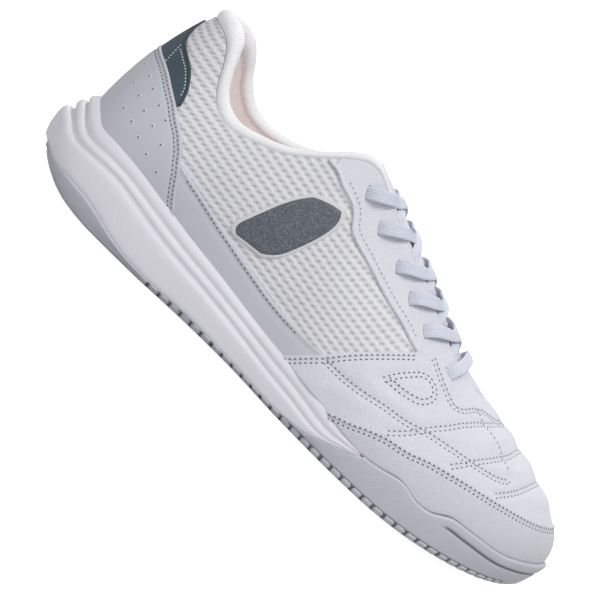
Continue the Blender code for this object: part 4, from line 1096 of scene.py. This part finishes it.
def make_panels():
    """The suede panels of the front, and the smooth panels of the heel and along the sole."""
    guard_low = rim_low(RIM_OVERLAP)
    panel("suede_toe_guard", 7.42, 16.58, guard_low,
          lambda r: np.maximum(edge_share(GUARD_TOP, r), edge_share(((7.3, 0.06), (7.46, 0.09)), r)),
          GUARD_SUEDE, guard_suede, "toe_guard", ("toe_guard",), relief=guard_relief, rows=24, rib_step=0.04)

    def vamp_low(rib):
        low = rim_low(RIM_OVERLAP)(rib)
        guard = edge_share(GUARD_TOP, rib) - 0.03
        return np.where(from_heel(rib) > 7.6, np.maximum(low, guard), low)

    def vamp_high(rib):
        rear = edge_share(VAMP_REAR, rib, 1.0)
        rear = np.where(from_heel(rib) < VAMP_REAR[0][0], VAMP_REAR[0][1], rear)
        return np.minimum(rear, edge_share(EYESTAY_FOOT, rib, 1.0) + 0.002)

    panel("suede_vamp", 6.36, 17.64, vamp_low, vamp_high, SUEDE, suede, "vamp", ("vamp",),
          relief=vamp_relief, rows=56, rib_step=0.035)
    panel("suede_eyestay", 5.30, 18.70, lambda r: edge_share(((5.2, 0.97),) + EYESTAY_FOOT, r) - 0.004,
          lambda r: np.full(len(r), 0.996), THROAT_SUEDE, suede, "eyestay", ("eyestay",),
          rows=16, rib_step=0.04)
    panel("heel_counter_skin", -3.99, 3.99, rim_low(COUNTER_OVERLAP),
          lambda r: edge_share(COUNTER_TOP, r), COUNTER_SKIN, smooth_grey, "heel_counter",
          ("heel_counter",), relief=counter_relief, rows=30, rib_step=0.03)
    panel("heel_tab_skin", -2.32, 2.32, lambda r: edge_share(COUNTER_TOP, r) - 0.02,
          lambda r: edge_share(TAB_TOP, r), TAB_SKIN, tab_teal, "heel_tab", ("heel_tab",),
          rows=18, rib_step=0.02)

    def rand_low(rib):
        low = rim_low(RIM_OVERLAP)(rib)
        low = np.maximum(low, edge_share(COUNTER_TOP, rib) - 0.02)
        return np.maximum(low, edge_share(VAMP_REAR, rib) - 0.02)

    for side, start, end in (("lateral", 3.30, 6.98), ("medial", RIBS - 6.98, RIBS - 3.30)):
        panel(f"rand_skin_{side}", start, end, rand_low,
              lambda r: edge_share(((3.2, 0.47),) + RAND_TOP + ((7.1, 0.28),), r),
              RAND_SKIN, smooth_grey, f"rand_{side}", (f"rand_{side}",),
              relief=rand_relief, rows=14, rib_step=0.05)


def make_patches():
    """A plain glitter patch on each side, over a cloth border that shows round it."""
    edges = rows_through(PATCH_EDGES)
    bottom, top = PATCH_EDGES[0][0], PATCH_EDGES[-1][0]
    for side in ("lateral", "medial"):
        for layer, grow, thickness, material in (
            ("border", 0.05, 0.0009, patch_edge), ("film", 0.0, 0.0012, glitter),
        ):
            t = np.concatenate([[0, 0.012, 0.03], np.linspace(0.06, 0.94, 26), [0.97, 0.988, 1]])
            s = np.concatenate([[0, 0.015, 0.04], np.linspace(0.1, 0.9, 14), [0.96, 0.985, 1]])
            tt, ss = np.meshgrid(t, s, indexing="ij")
            span = top - bottom
            shares = bottom - grow * 0.36 + (span + grow * 0.72) * tt
            rear, front = edges(np.clip(shares.ravel(), bottom, top)).T
            rounding = 0.20 * np.abs(2 * tt - 1) ** 6
            rear = rear.reshape(tt.shape) - grow + rounding
            front = front.reshape(tt.shape) + grow - rounding
            ribs = rear + (front - rear) * ss
            away = np.minimum(np.minimum(tt, 1 - tt) * 0.036, np.minimum(ss, 1 - ss) * 0.024)
            lift = -0.0003 + (thickness + 0.0003) * edge_round(away, 0.0011)
            if side == "medial":
                ribs = RIBS - ribs[:, ::-1]
                lift = lift[:, ::-1]
            points = lifted(ribs, shares, lift).reshape(tt.shape + (3,))
            piece = shaped_grid(f"patch_{layer}_{side}", points, cloth_uv(ribs, shares))
            give_wall(piece, PANEL_WALL)
            nodes = (f"side_patch_{side}",) if layer == "film" else ()
            finish_piece(piece, material, f"side_patch_{side}", *nodes)


def make_edges():
    """The folded edges of the eyestay, throat and heel tab, and the binding at the throat's rear ends."""
    rib = np.linspace(5.16, 8.50, 170)
    share = edge_share(((5.1, 1.0), (5.25, 0.965)) + EYESTAY_FOOT, rib)
    for side, ribs, shares in both_sides(rib, share):
        edge_tube(f"eyestay_fold_{side}", ribs, shares, 0.0006, round_section(0.0015, 0.0020),
                  piping_edge, "eyestay")
    rib = np.linspace(6.2, 6.9, 60)
    for side, ribs, shares in both_sides(rib, np.ones(len(rib))):
        edge_tube(f"throat_binding_{side}", ribs, shares, -0.0007, round_section(0.0020, 0.0032),
                  binding, "upper", scale=1 - 0.8 * ease(from_heel(ribs), 6.66, 6.9))
    rib = np.linspace(6.80, RIBS - 6.80, 240)
    normal = upper_normal(rib, 0.99)
    swept("throat_edge", upper_point(rib, 0.998) - normal * 0.0006, normal,
          round_section(0.0019, 0.0034), piping_edge, "eyestay")
    rib = np.linspace(0.16, 2.30, 120)
    for side, ribs, shares in both_sides(rib, edge_share(TAB_TOP, rib)):
        edge_tube(f"tab_fold_{side}", ribs, shares, 0.0004, round_section(0.0013, 0.0017, 10),
                  tab_dark, "heel_tab")


def make_collar_roll():
    """The padded roll on the upper's top edge, slimmer towards the throat and round at its ends."""
    end = 6.72
    rib = np.linspace(-end, end, 340)
    away = np.abs(rib)
    fade = ease(away, 1.4, 5.0)
    tip = 1 - 0.55 * ease(away, 5.6, 6.7)
    height = 0.0087 * (1 - 0.50 * fade) * tip
    depth = 0.0090 * (1 - 0.42 * fade) * tip
    top = upper_point(rib, 1.0)
    normal = upper_normal(rib, 1.0)
    up = unit(top - upper_point(rib, 0.97))
    centre = top + up * (height / 2 - 0.0006)[:, None] - normal * (depth / 2 - 0.0012)[:, None]
    end_round = edge_round(end - away, 0.09) * 0.999 + 0.001
    rise = up * (height / 2 * end_round)[:, None]
    reach = normal * (depth / 2 * end_round)[:, None]
    turn = np.linspace(0, 2 * np.pi, 25)
    points = centre + rise * np.sin(turn)[:, None, None] + reach * np.cos(turn)[:, None, None]
    piece = closed_tube("collar_roll", points, grid_uv(run_lengths(centre), turn * 0.0045))
    finish_piece(piece, collar_knit, "collar", "collar")


def make_tongue():
    """The padded tongue under the throat, thin at its sides and its top end."""
    rib = np.linspace(6.06, 11.86, 110)
    across = np.linspace(0, 1, 41)
    stages = []
    for depth in (0.0004, 0.0004 + TONGUE_THICKNESS):
        under = (GAP + throat_wall(rib, 1.0)) * (1 - 0.9 * ease(rib, 9.0, 10.2)) + depth
        lateral_low, lateral_edge = (lifted(rib, share, -under) for share in (0.84, 1.0))
        medial_low, medial_edge = (lifted(RIBS - rib, share, -under) for share in (0.84, 1.0))
        middle = (lateral_edge + medial_edge) / 2
        middle[:, 2] += 0.11 * np.linalg.norm(lateral_edge - medial_edge, axis=1)
        rows = [lateral_low, (lateral_low + lateral_edge) / 2, lateral_edge * 0.94 + middle * 0.06, middle,
                medial_edge * 0.94 + middle * 0.06, (medial_low + medial_edge) / 2, medial_low]
        places = (0, 0.1, 0.2, 0.5, 0.8, 0.9, 1.0)
        table = [(place, *row.ravel()) for place, row in zip(places, rows)]
        stages.append(rows_through(table)(across).reshape(len(across), len(rib), 3))
    outer, inner = stages
    middle = (outer + inner) / 2
    edge = np.minimum(across, 1 - across)[:, None]
    top = np.linspace(0, 1, len(rib))[None, :]
    full = edge_round(edge, 0.06) * edge_round(top, 0.04) * 0.98 + 0.02
    outer = middle + (outer - middle) * full[..., None]
    inner = middle + (inner - middle) * full[..., None]
    loop = np.concatenate([outer, inner[::-1], outer[:1]], axis=0)
    uv = grid_uv(run_lengths(outer[20]), np.linspace(0, 0.12, len(loop)))
    piece = closed_tube("tongue_pad", loop, uv)
    finish_piece(piece, tongue_cloth, "tongue", "tongue")


# Laces

def lace_profile():
    """Section of a flat lace: six soft ribs on each face and round sides."""
    points = []
    for k in range(25):
        w = -1 + 2 * k / 24
        thin = math.sqrt(max(1 - abs(w) ** 5, 0.0))
        rib = 0.00019 * math.cos(6 * math.pi * w)
        points.append((w * LACE_WIDTH / 2, (LACE_THICKNESS / 2 + rib) * thin + 1e-5))
    back = [(x, -y) for x, y in reversed(points)]
    return points + back


def slot_direction(start, share, edge):
    """Where the lace comes out of its slot: the place, the way outward and the way it runs."""
    point = upper_point(start, share)[0]
    out = upper_normal(start, share)[0]
    ahead = upper_point(edge, 1.0)[0] - point
    ahead = ahead - out * ahead.dot(out)
    return point, out, ahead / np.linalg.norm(ahead)


def lace_start(rib, share, edge):
    """The first three points of a lace that leaves its slot, and the ways it faces there."""
    point, out, ahead = slot_direction(rib, share, edge)
    edge_out = upper_normal(edge, 0.99)[0]
    sunk = point - ahead * SLOT_BACK - out * SLOT_DEPTH
    first = point + ahead * SLOT_FRONT + out * LACE_LIFT
    second = upper_point(edge, 1.0)[0] + edge_out * (LACE_LIFT + 0.0002)
    return [sunk, first, second], [out, out, edge_out]


def smooth_run(places, points, facing, count):
    """A line through points at given places in its run, and the way it faces all along."""
    t = np.linspace(0, places[-1], count)
    line, faces = (rows_through([(p, *row) for p, row in zip(places, rows)])(t) for rows in (points, facing))
    return line, unit(faces)


def lace_run(eyelet, end_rib, start_side, over):
    """Middle line of one run: out of its slot, over the edge, across and under the other edge."""
    start, share, edge = eyelet
    end = RIBS - end_rib
    if start_side == "medial":
        start, edge, end = RIBS - start, RIBS - edge, end_rib
    points, facing = lace_start(start, share, edge)
    second = points[-1]
    last = upper_point(end, 1.0)[0]
    across = last - upper_point(edge, 1.0)[0]
    points += [
        second + across * 0.22 + UP * 0.0009,
        (second + last) / 2 + UP * (0.0034 if over else 0.0020),
        last - across * 0.14 + UP * 0.0008,
        lifted(end, 0.965, -0.0034)[0],
    ]
    facing += [unit(facing[-1] + LACE_FACE), LACE_FACE, LACE_FACE, upper_normal(end, 1.0)[0]]
    return smooth_run((0.0, 0.12, 0.36, 0.50, 0.68, 0.92, 1.06), points, facing, 96)


def make_laces():
    """Two runs from each pair of eyelets to the next, and the strap over the top pair."""
    profile = lace_profile()
    for k in range(len(EYELETS) - 1):
        near, far = EYELETS[k][2], EYELETS[k + 1][2]
        reach = near + (far - near) * LACE_REACH
        cross = f"lace_cross_{k + 1}"
        for side in ("lateral", "medial"):
            over = (k % 2 == 0) == (side == "lateral")
            route, facing = lace_run(EYELETS[k], reach, side, over)
            swept(f"lace_{k + 1}_{side}", route, facing, profile, lace_weave, cross, (cross,))
    rib, share, edge = EYELETS[-1]
    near, near_facing = lace_start(rib, share, edge)
    far, far_facing = lace_start(RIBS - rib, share, RIBS - edge)
    points = near + [(near[-1] + far[-1]) / 2 + UP * 0.0026] + far[::-1]
    faces = near_facing + [LACE_FACE] + far_facing[::-1]
    route, facing = smooth_run((0.0, 0.12, 0.32, 0.5, 0.68, 0.88, 1.0), points, faces, 90)
    swept("lace_bar_strap", route, facing, profile, lace_weave, "lace_bar", ("lace_bar",))


def make_slots():
    """Dark beads of painted shadow in the slots that the laces come out of."""
    bead = bead_mesh(14, 8)
    places = []
    axes = []
    for rib, share, edge in EYELETS:
        for start, end in ((rib, edge), (RIBS - rib, RIBS - edge)):
            point, normal, ahead = slot_direction(start, share, end)
            side = np.cross(normal, ahead)
            places.append(point - ahead * 0.0006 + normal * THROAT_SUEDE)
            along, across, upward = SLOT_BEAD
            axes.append([side * across, ahead * along, normal * upward])
    copies("eyelet_slot_shades", bead, np.array(places), np.array(axes), slot_shade, "eyestay")


def make_perforations():
    """Small vent holes in the heel counter: a dark bead of painted shade in each, in a raised rim whose
    paler colour is a painted highlight.
    """
    bead = bead_mesh(10, 6)
    rib, share = np.array([(r, share) for rib, share in PERFORATIONS for r in (rib, -rib)]).T
    normal = upper_normal(rib, share)
    ahead = unit(upper_point(rib + 0.02, share) - upper_point(rib - 0.02, share))
    side = np.cross(normal, ahead)
    place = lifted(rib, share, COUNTER_SKIN)
    rims = bead_axes(ahead, side, normal, VENT_RIM_BEAD)
    holes = bead_axes(ahead, side, normal, VENT_BEAD)
    # The rims are raised; their paler colour is a painted highlight, and the holes' dark colour is painted
    # shade.
    copies("perforation_rims", bead, place, rims, rim_highlight_grey, "heel_counter")
    copies("perforation_hole_shades", bead, place, holes, dark_hole_shade, "heel_counter")


# Sole

def make_insole():
    """The padded sheet in the shoe, its border rounded and its middle a little lower."""
    rib = np.concatenate([[0.02, 0.08, 0.2], np.linspace(0.4, 11.6, 90), [11.8, 11.92, 11.98]])
    outer, inner = (
        edge_point(r, foot_inset(r) + UPPER_WALL + 0.0005, floor_height(r) + GAP + INSOLE_THICKNESS)
        for r in (rib, RIBS - rib)
    )
    t = np.concatenate([[0, 0.01, 0.03], np.linspace(0.07, 0.93, 26), [0.97, 0.99, 1]])
    points = outer[None] * (1 - t)[:, None, None] + inner[None] * t[:, None, None]
    width = np.linalg.norm(outer - inner, axis=1)
    away = np.minimum(t, 1 - t)[:, None] * width[None]
    points[..., 2] -= 0.0014 * (1 - edge_round(away, 0.0022)) + 0.0008 * ease(away, 0.004, 0.03)
    uv = (points - MIDDLE)[..., :2] * 10
    piece = shaped_grid("insole_pad", points[:, ::-1], uv[:, ::-1])
    if sum(p.normal.z for p in piece.data.polygons) < 0:
        piece.data.flip_normals()
    give_wall(piece, INSOLE_WALL)
    finish_piece(piece, insole_cloth, "insole", "insole")


# Section of the foam's side. Columns: step, level, share of the way in
FOAM_PROFILE = (
    (0.0, 0.00, 0.00), (0.6, 0.30, 0.02), (1.0, 0.62, 0.00), (2.0, 0.90, 0.12), (3.0, 1.00, 0.42),
    (3.5, 1.42, 0.32), (4.0, 1.90, 0.44), (4.5, 2.00, 0.68), (5.0, 2.34, 0.58), (6.0, 2.84, 0.74),
    (6.6, 2.97, 0.86), (7.0, 3.00, 1.00),
)


def make_foam_sole():
    """The foam's ribbed side, from the rubber's edge to the rim and a little down inside it."""
    rib = np.linspace(0, RIBS, 721)
    away = from_heel(rib)
    hide = ease(away, 8.16, 8.34)
    side = side_shares(rib)
    bottom = rubber_top(rib) - 0.0004
    rim = np.maximum(rim_height(rib), bottom + 0.0004)
    rim = rim * (1 - hide) + (np.minimum(rim_height(rib), rubber_top(rib)) - 0.0012) * hide
    bottom = bottom * (1 - hide) + (rim - 0.002) * hide
    share = share_at_height(rib, rim)
    face = upper_point(rib, share)[:, :2]
    inner = ((outline(rib) - face) * outward(rib)).sum(axis=1) - 0.0001
    edge = side[:, 1] * BALL_WIDTH
    profile = rows_through(FOAM_PROFILE)
    heel = 1 - ease(away, 0.8, 2.4)
    first = bottom + (rim - bottom) * side[:, 2]
    second = bottom + (rim - bottom) * side[:, 3]
    rings = [edge_point(rib, RUBBER_WALL + 0.004, bottom - 0.001)]
    for step in np.linspace(0, 7, 46):
        level, share_in = profile(step)[0]
        if level <= 1:
            height = bottom + (first - bottom) * level
        elif level <= 2:
            height = first + (second - first) * (level - 1)
        else:
            height = second + (rim - second) * (level - 2)
        start = 0.0007 * (1 - 0.8 * heel) * np.clip(1 - step / 0.35, 0, 1) ** 2
        start = start + edge * 0.3 * np.clip(1 - step / 0.6, 0, 1)
        start = start + HEEL_BEVEL * heel * np.clip(1 - step / 1.15, 0, 1) ** 1.6
        inset = np.maximum(inner * share_in, 0) + start
        inset = inset * (1 - hide) + (RUBBER_WALL + 0.0006) * hide
        rings.append(edge_point(rib, inset, height))
    rings.append(edge_point(rib, inner + 0.0006, rim - 0.0001))
    rings.append(edge_point(rib, inner + 0.0012, rim - 0.004))
    points = np.array(rings)
    uv = grid_uv(run_lengths(points[10]), run_lengths(points[:, 200]))
    piece = shaped_grid("foam_sole", points, uv, closed=True)
    close_holes(piece)
    finish_piece(piece, foam, "midsole", "midsole")


def lug_shape(run, height, bottom, window):
    """Outward push of the lugs along the sole's edge, and how much painted shade each place gets for lying
    in a gap.
    """
    across = np.abs(np.mod(run, LUG_PITCH) - LUG_PITCH / 2) / LUG_HALF_WIDTH
    upward = np.abs(height - bottom - LUG_HEIGHT / 2 - 0.0001) / (LUG_HEIGHT / 2)
    lug = np.clip(1 - across**4 - upward**4, 0, 1) ** 0.35
    band = 1 - ease(height - bottom, LUG_HEIGHT * 0.95, LUG_HEIGHT * 1.25)
    push = (0.0006 * lug - 0.0007 * (1 - lug)) * band
    gap = (1 - np.clip(lug * 2.2, 0, 1)) * band
    return push * window, gap * window


def pad_mesh():
    """A six-sided tread pad with soft edges."""
    bpy.ops.object.select_all(action="DESELECT")
    bpy.ops.mesh.primitive_cylinder_add(vertices=6, radius=1.0, depth=2.0)
    pad = bpy.context.object
    edge = pad.modifiers.new("edge", "BEVEL")
    edge.width = 0.16
    edge.segments = 2
    apply_modifier(pad, edge)
    return mesh_parts(pad)


def make_tread():
    """Rows of small pads under the sole, each one lying along the tread's slope."""
    rib = np.linspace(0.3, TOE_RIB - 0.3, 400)
    inset = side_shares(rib)[:, 0] * BALL_WIDTH + TREAD_BORDER + 0.0008
    outer = edge_point(rib, inset, rubber_bottom(rib))
    inner = edge_point(RIBS - rib, inset, rubber_bottom(rib))
    middle_x = (outer[:, 0] + inner[:, 0]) / 2
    places = []
    for row, x in enumerate(np.arange(0.012, LENGTH - 0.012, PAD_ROW)):
        low = np.interp(x, outer[:, 0], outer[:, 1], left=0, right=0) + PAD_MARGIN
        high = np.interp(x, inner[:, 0], inner[:, 1], left=0, right=0) - PAD_MARGIN
        ground = np.interp(x, middle_x, outer[:, 2])
        for y in np.arange(-9, 9.5) * PAD_COLUMN + PAD_COLUMN / 2 * (row % 2):
            if low < y < high:
                places.append((x, y, ground + PAD_HALF_HEIGHT))
    places = np.array(places)
    lean = np.interp(places[:, 0], middle_x, np.gradient(rubber_bottom(rib), middle_x))
    level = np.zeros(len(lean))
    flat = unit(np.column_stack([np.ones(len(lean)), level, lean]))
    up = np.column_stack([-flat[:, 2], level, flat[:, 0]])
    aside = np.broadcast_to(np.array([0.0, 1.0, 0.0]), flat.shape)
    axes = np.stack([flat * PAD_RADIUS, aside * PAD_RADIUS, up * PAD_HALF_HEIGHT], axis=1)
    smooth_faces(copies("tread_pads", pad_mesh(), places, axes, rubber, "outsole"))


def make_rubber_sole():
    """The rubber cup: tread, lugs along its edge, rounded heel and the groove round the toe."""
    fine = np.linspace(0, TOE_RIB, 4001)
    length = run_lengths(outline(fine))
    even = np.linspace(0, length[-1], 561)
    side_rib = np.interp(even, length, fine)
    rib = np.concatenate([side_rib, RIBS - side_rib[::-1][1:]])
    run = np.concatenate([even, even[::-1][1:]])
    away = from_heel(rib)
    side = side_shares(rib)
    x_share = outline_shares(rib)[:, 0]
    window = ease(x_share, 0.262, 0.275) * (1 - ease(x_share, 0.968, 0.985))
    bottom = rubber_bottom(rib)
    top = np.maximum(rubber_top(rib), np.where(away > FOAM_END_RIB, rim_height(rib), 0)) - 0.0001
    rise = top - bottom
    heel = 1 - ease(away, 0.8, 2.4)
    bottom_inset = side[:, 0] * BALL_WIDTH * (1 + 0.22 * heel)
    top_inset = side[:, 1] * BALL_WIDTH
    knee = bottom_inset * (0.62 + 0.23 * heel) + top_inset * 0.2
    high_inset = top_inset * 0.3 + HEEL_BEVEL * heel
    low_level = np.minimum(0.0024 / rise, 0.55)
    groove_window = ease(away, 9.80, 9.92)
    border = edge_point(rib, bottom_inset + TREAD_BORDER + 0.0006, bottom + TREAD_DEPTH)
    middle = (border + border[::-1]) / 2
    rings = [middle + (border - middle) * k for k in (0.0, 0.2, 0.4, 0.6, 0.8, 1.0)]
    for inset, lift in ((TREAD_BORDER, 0.0002), (TREAD_BORDER - 0.0004, 0.0), (0.0016, 0.0)):
        rings.append(edge_point(rib, bottom_inset + inset, bottom + lift))
    painted_gap_shades = [np.zeros(len(rib))] * len(rings)
    # The lower rings crowd into the lugs' height
    crowded = 0.45
    lug_part = np.minimum(0.0040 / rise, 0.62)
    levels = np.concatenate([
        np.linspace(0, 1, 15) * crowded, np.linspace(0.475, 0.90, 20), [0.93, 0.955, 0.975, 0.99, 1.0],
    ])
    for level in levels:
        place = level / crowded * lug_part
        if level >= crowded:
            place = lug_part + (level - crowded) / (1 - crowded) * (1 - lug_part)
        height = bottom + rise * place
        low_shape = bottom_inset + (knee - bottom_inset) * np.clip(place / low_level, 0, 1)
        fade = (1 - np.clip((place - low_level) / (0.94 - low_level), 0, 1)) ** 1.4
        inset = np.where(place < low_level, low_shape, knee * fade + high_inset * (1 - fade))
        slope = 0.34 * np.clip((1 - place) / 0.5, 0, 1) + 0.66 * (1 - edge_round(place, 0.4))
        inset = inset * (1 - heel) + (high_inset + (bottom_inset - high_inset) * slope) * heel
        inset = inset + 0.0009 * (1 - edge_round(top - height, 0.0009))
        inset = inset + 0.0006 * (1 - edge_round(height - bottom, 0.0006))
        dent = np.exp(-(((height - 0.785 * top) / 0.00055) ** 2)) * groove_window
        inset = inset + 0.0011 * dent
        push, gap = lug_shape(run, height, bottom, window)
        rings.append(edge_point(rib, inset - push, height))
        # Painted shade in the gaps between the lugs and in the groove round the toe.
        painted_gap_shades.append(np.maximum(gap, dent))
    rings.append(edge_point(rib, inset + 0.0016, top - 0.0002))
    rings.append(edge_point(rib, inset + 0.0026, np.maximum(top - 0.004, bottom + 0.0016)))
    painted_gap_shades += [np.zeros(len(rib))] * 2
    points = np.array(rings)
    piece = shaped_grid("rubber_sole", points, grid_uv(run, run_lengths(points[:, 300])))
    # The gap attribute carries the painted shade to the rubber's material.
    layer = piece.data.attributes.new("gap", "FLOAT", "POINT")
    layer.data.foreach_set("value", np.array(painted_gap_shades).reshape(-1))
    join_seam(piece)
    close_holes(piece)
    finish_piece(piece, rubber, "outsole", "outsole")


def note_stitches():
    """Every row of stitches. Columns: line, offsets to its left, height, thread, hole, relief, pitch."""
    rows = [
        (edge_line(VAMP_REAR), (-0.0017, -0.0036), SUEDE, "suede", "dark", vamp_relief),
        (edge_line(GUARD_TOP), (-0.0015, -0.0033), GUARD_SUEDE, "suede", "dark", guard_relief),
        (edge_line(EYESTAY_FOOT, 8.92), (-0.0016, -0.0034), SUEDE, "suede", "soft", vamp_relief),
        (edge_line(EYESTAY_FOOT, 5.6, 8.4), (0.0027,), THROAT_SUEDE, "suede", "pale"),
        (edge_line(COUNTER_TOP, 0.0, 3.85), (-0.0016, -0.0034), COUNTER_SKIN, "grey", "dark",
         counter_relief, COUNTER_PITCH),
        (edge_line(RAND_TOP, 3.6, 6.9), (-0.0016,), RAND_SKIN, "grey", "dark", rand_relief),
    ]
    for seam in TAB_SEAMS:
        rows.append((spaced_line(seam), (0.0,), TAB_SKIN, "light", None, None, TAB_PITCH))
    for line in QUILT_LINES:
        rows.append((spaced_line(line), (-0.0010, 0.0010), SUEDE, "suede", "soft", vamp_relief))
    rows += [
        (spaced_line(QUILT_LOOP), (-0.0002, -0.0024), SUEDE, "suede", "dark", vamp_relief),
        (spaced_line(CENTRE_SEAM), (0.0,), SUEDE, "suede", "soft", vamp_relief),
    ]
    for line, offsets, *finish in rows:
        for offset in offsets:
            stitch_line(moved_line(line, offset), *finish)


make_upper_skins()
make_panels()
make_patches()
make_edges()
make_collar_roll()
make_tongue()
make_laces()
make_slots()
make_perforations()
make_insole()
make_foam_sole()
make_rubber_sole()
make_tread()
note_stitches()
make_stitches({"suede": suede_thread, "grey": grey_thread, "light": light_thread},
              {"dark": dark_hole_shade, "soft": soft_hole_shade, "pale": pale_hole_shade})


# Floor, light and camera

def make_floor_material():
    """A pale floor that looks white to the camera and throws little light back at the shoe."""
    material, t, shader = new_material("pale_floor", (0.58, 0.58, 0.59), 0.9)
    shader.inputs["Specular IOR Level"].default_value = 0.0
    none, glow = (t.node("ShaderNodeEmission", {"Strength": s}).outputs[0] for s in (0.0, 0.93))
    seen = t.node("ShaderNodeLightPath").outputs["Is Camera Ray"]
    light = t.node("ShaderNodeMixShader", {0: seen, 1: none, 2: glow}).outputs[0]
    both = t.node("ShaderNodeAddShader", {0: shader.outputs[0], 1: light})
    t.join(both.outputs[0], material.node_tree.nodes["Material Output"].inputs["Surface"])
    return material


def make_stage():
    """The floor, the even light round the shoe and three round lamps."""
    bpy.ops.object.select_all(action="DESELECT")
    bpy.ops.mesh.primitive_plane_add(size=80.0)
    floor = bpy.context.object
    floor.name = "floor"
    floor.data.materials.append(make_floor_material())
    world = bpy.data.worlds.new("studio")
    world.use_nodes = True
    back = world.node_tree.nodes["Background"]
    back.inputs[0].default_value = (1.0, 1.0, 1.0, 1.0)
    back.inputs[1].default_value = 0.52
    bpy.context.scene.world = world
    for name, place, target, size, power in (
        ("key", (0.35, -1.0, 1.8), (0, 0, 0.03), 0.8, 19.0),
        ("front", (-0.5, -2.2, 0.8), (0, 0, 0.04), 1.2, 6.0),
        ("back", (-0.3, 1.5, 1.3), (0, 0, 0.05), 1.2, 12.0),
    ):
        light = bpy.data.lights.new(name, "AREA")
        light.shape = "DISK"
        light.size = size
        light.energy = power
        lamp = bpy.data.objects.new(name, light)
        bpy.context.scene.collection.objects.link(lamp)
        lamp.location = place
        lamp.rotation_euler = (Vector(target) - Vector(place)).to_track_quat("-Z", "Y").to_euler()


def make_camera():
    """The camera looks at the outer side from a little above, rolled so the toe points down right."""
    elevation = math.radians(7.5)
    roll = math.radians(0.80)
    distance = 1.6
    aim_along, aim_up = 0.13128, 0.03707
    right_along, right_up = 0.7108, 0.7034
    focal_pixels, picture_width, sensor_width = 2321, 600, 36
    along = np.array([1.0, 0, 0])
    raised = np.array([0, math.sin(elevation), math.cos(elevation)])
    look = np.array([0, math.cos(elevation), -math.sin(elevation)])
    level = math.cos(roll) * along - math.sin(roll) * raised
    upright = math.sin(roll) * along + math.cos(roll) * raised
    place = along * aim_along + raised * aim_up - MIDDLE - look * distance
    right = unit(right_along * level + right_up * upright)
    up = np.cross(right, look)
    camera = bpy.data.objects.new("camera", bpy.data.cameras.new("camera"))
    bpy.context.scene.collection.objects.link(camera)
    rows = np.column_stack([right, up, -look, place])
    camera.matrix_world = Matrix((*rows, (0, 0, 0, 1)))
    camera.data.sensor_width = sensor_width
    camera.data.lens = sensor_width * focal_pixels * distance / picture_width
    bpy.context.scene.camera = camera


make_stage()
make_camera()
bpy.context.scene.view_settings.view_transform = "Standard"
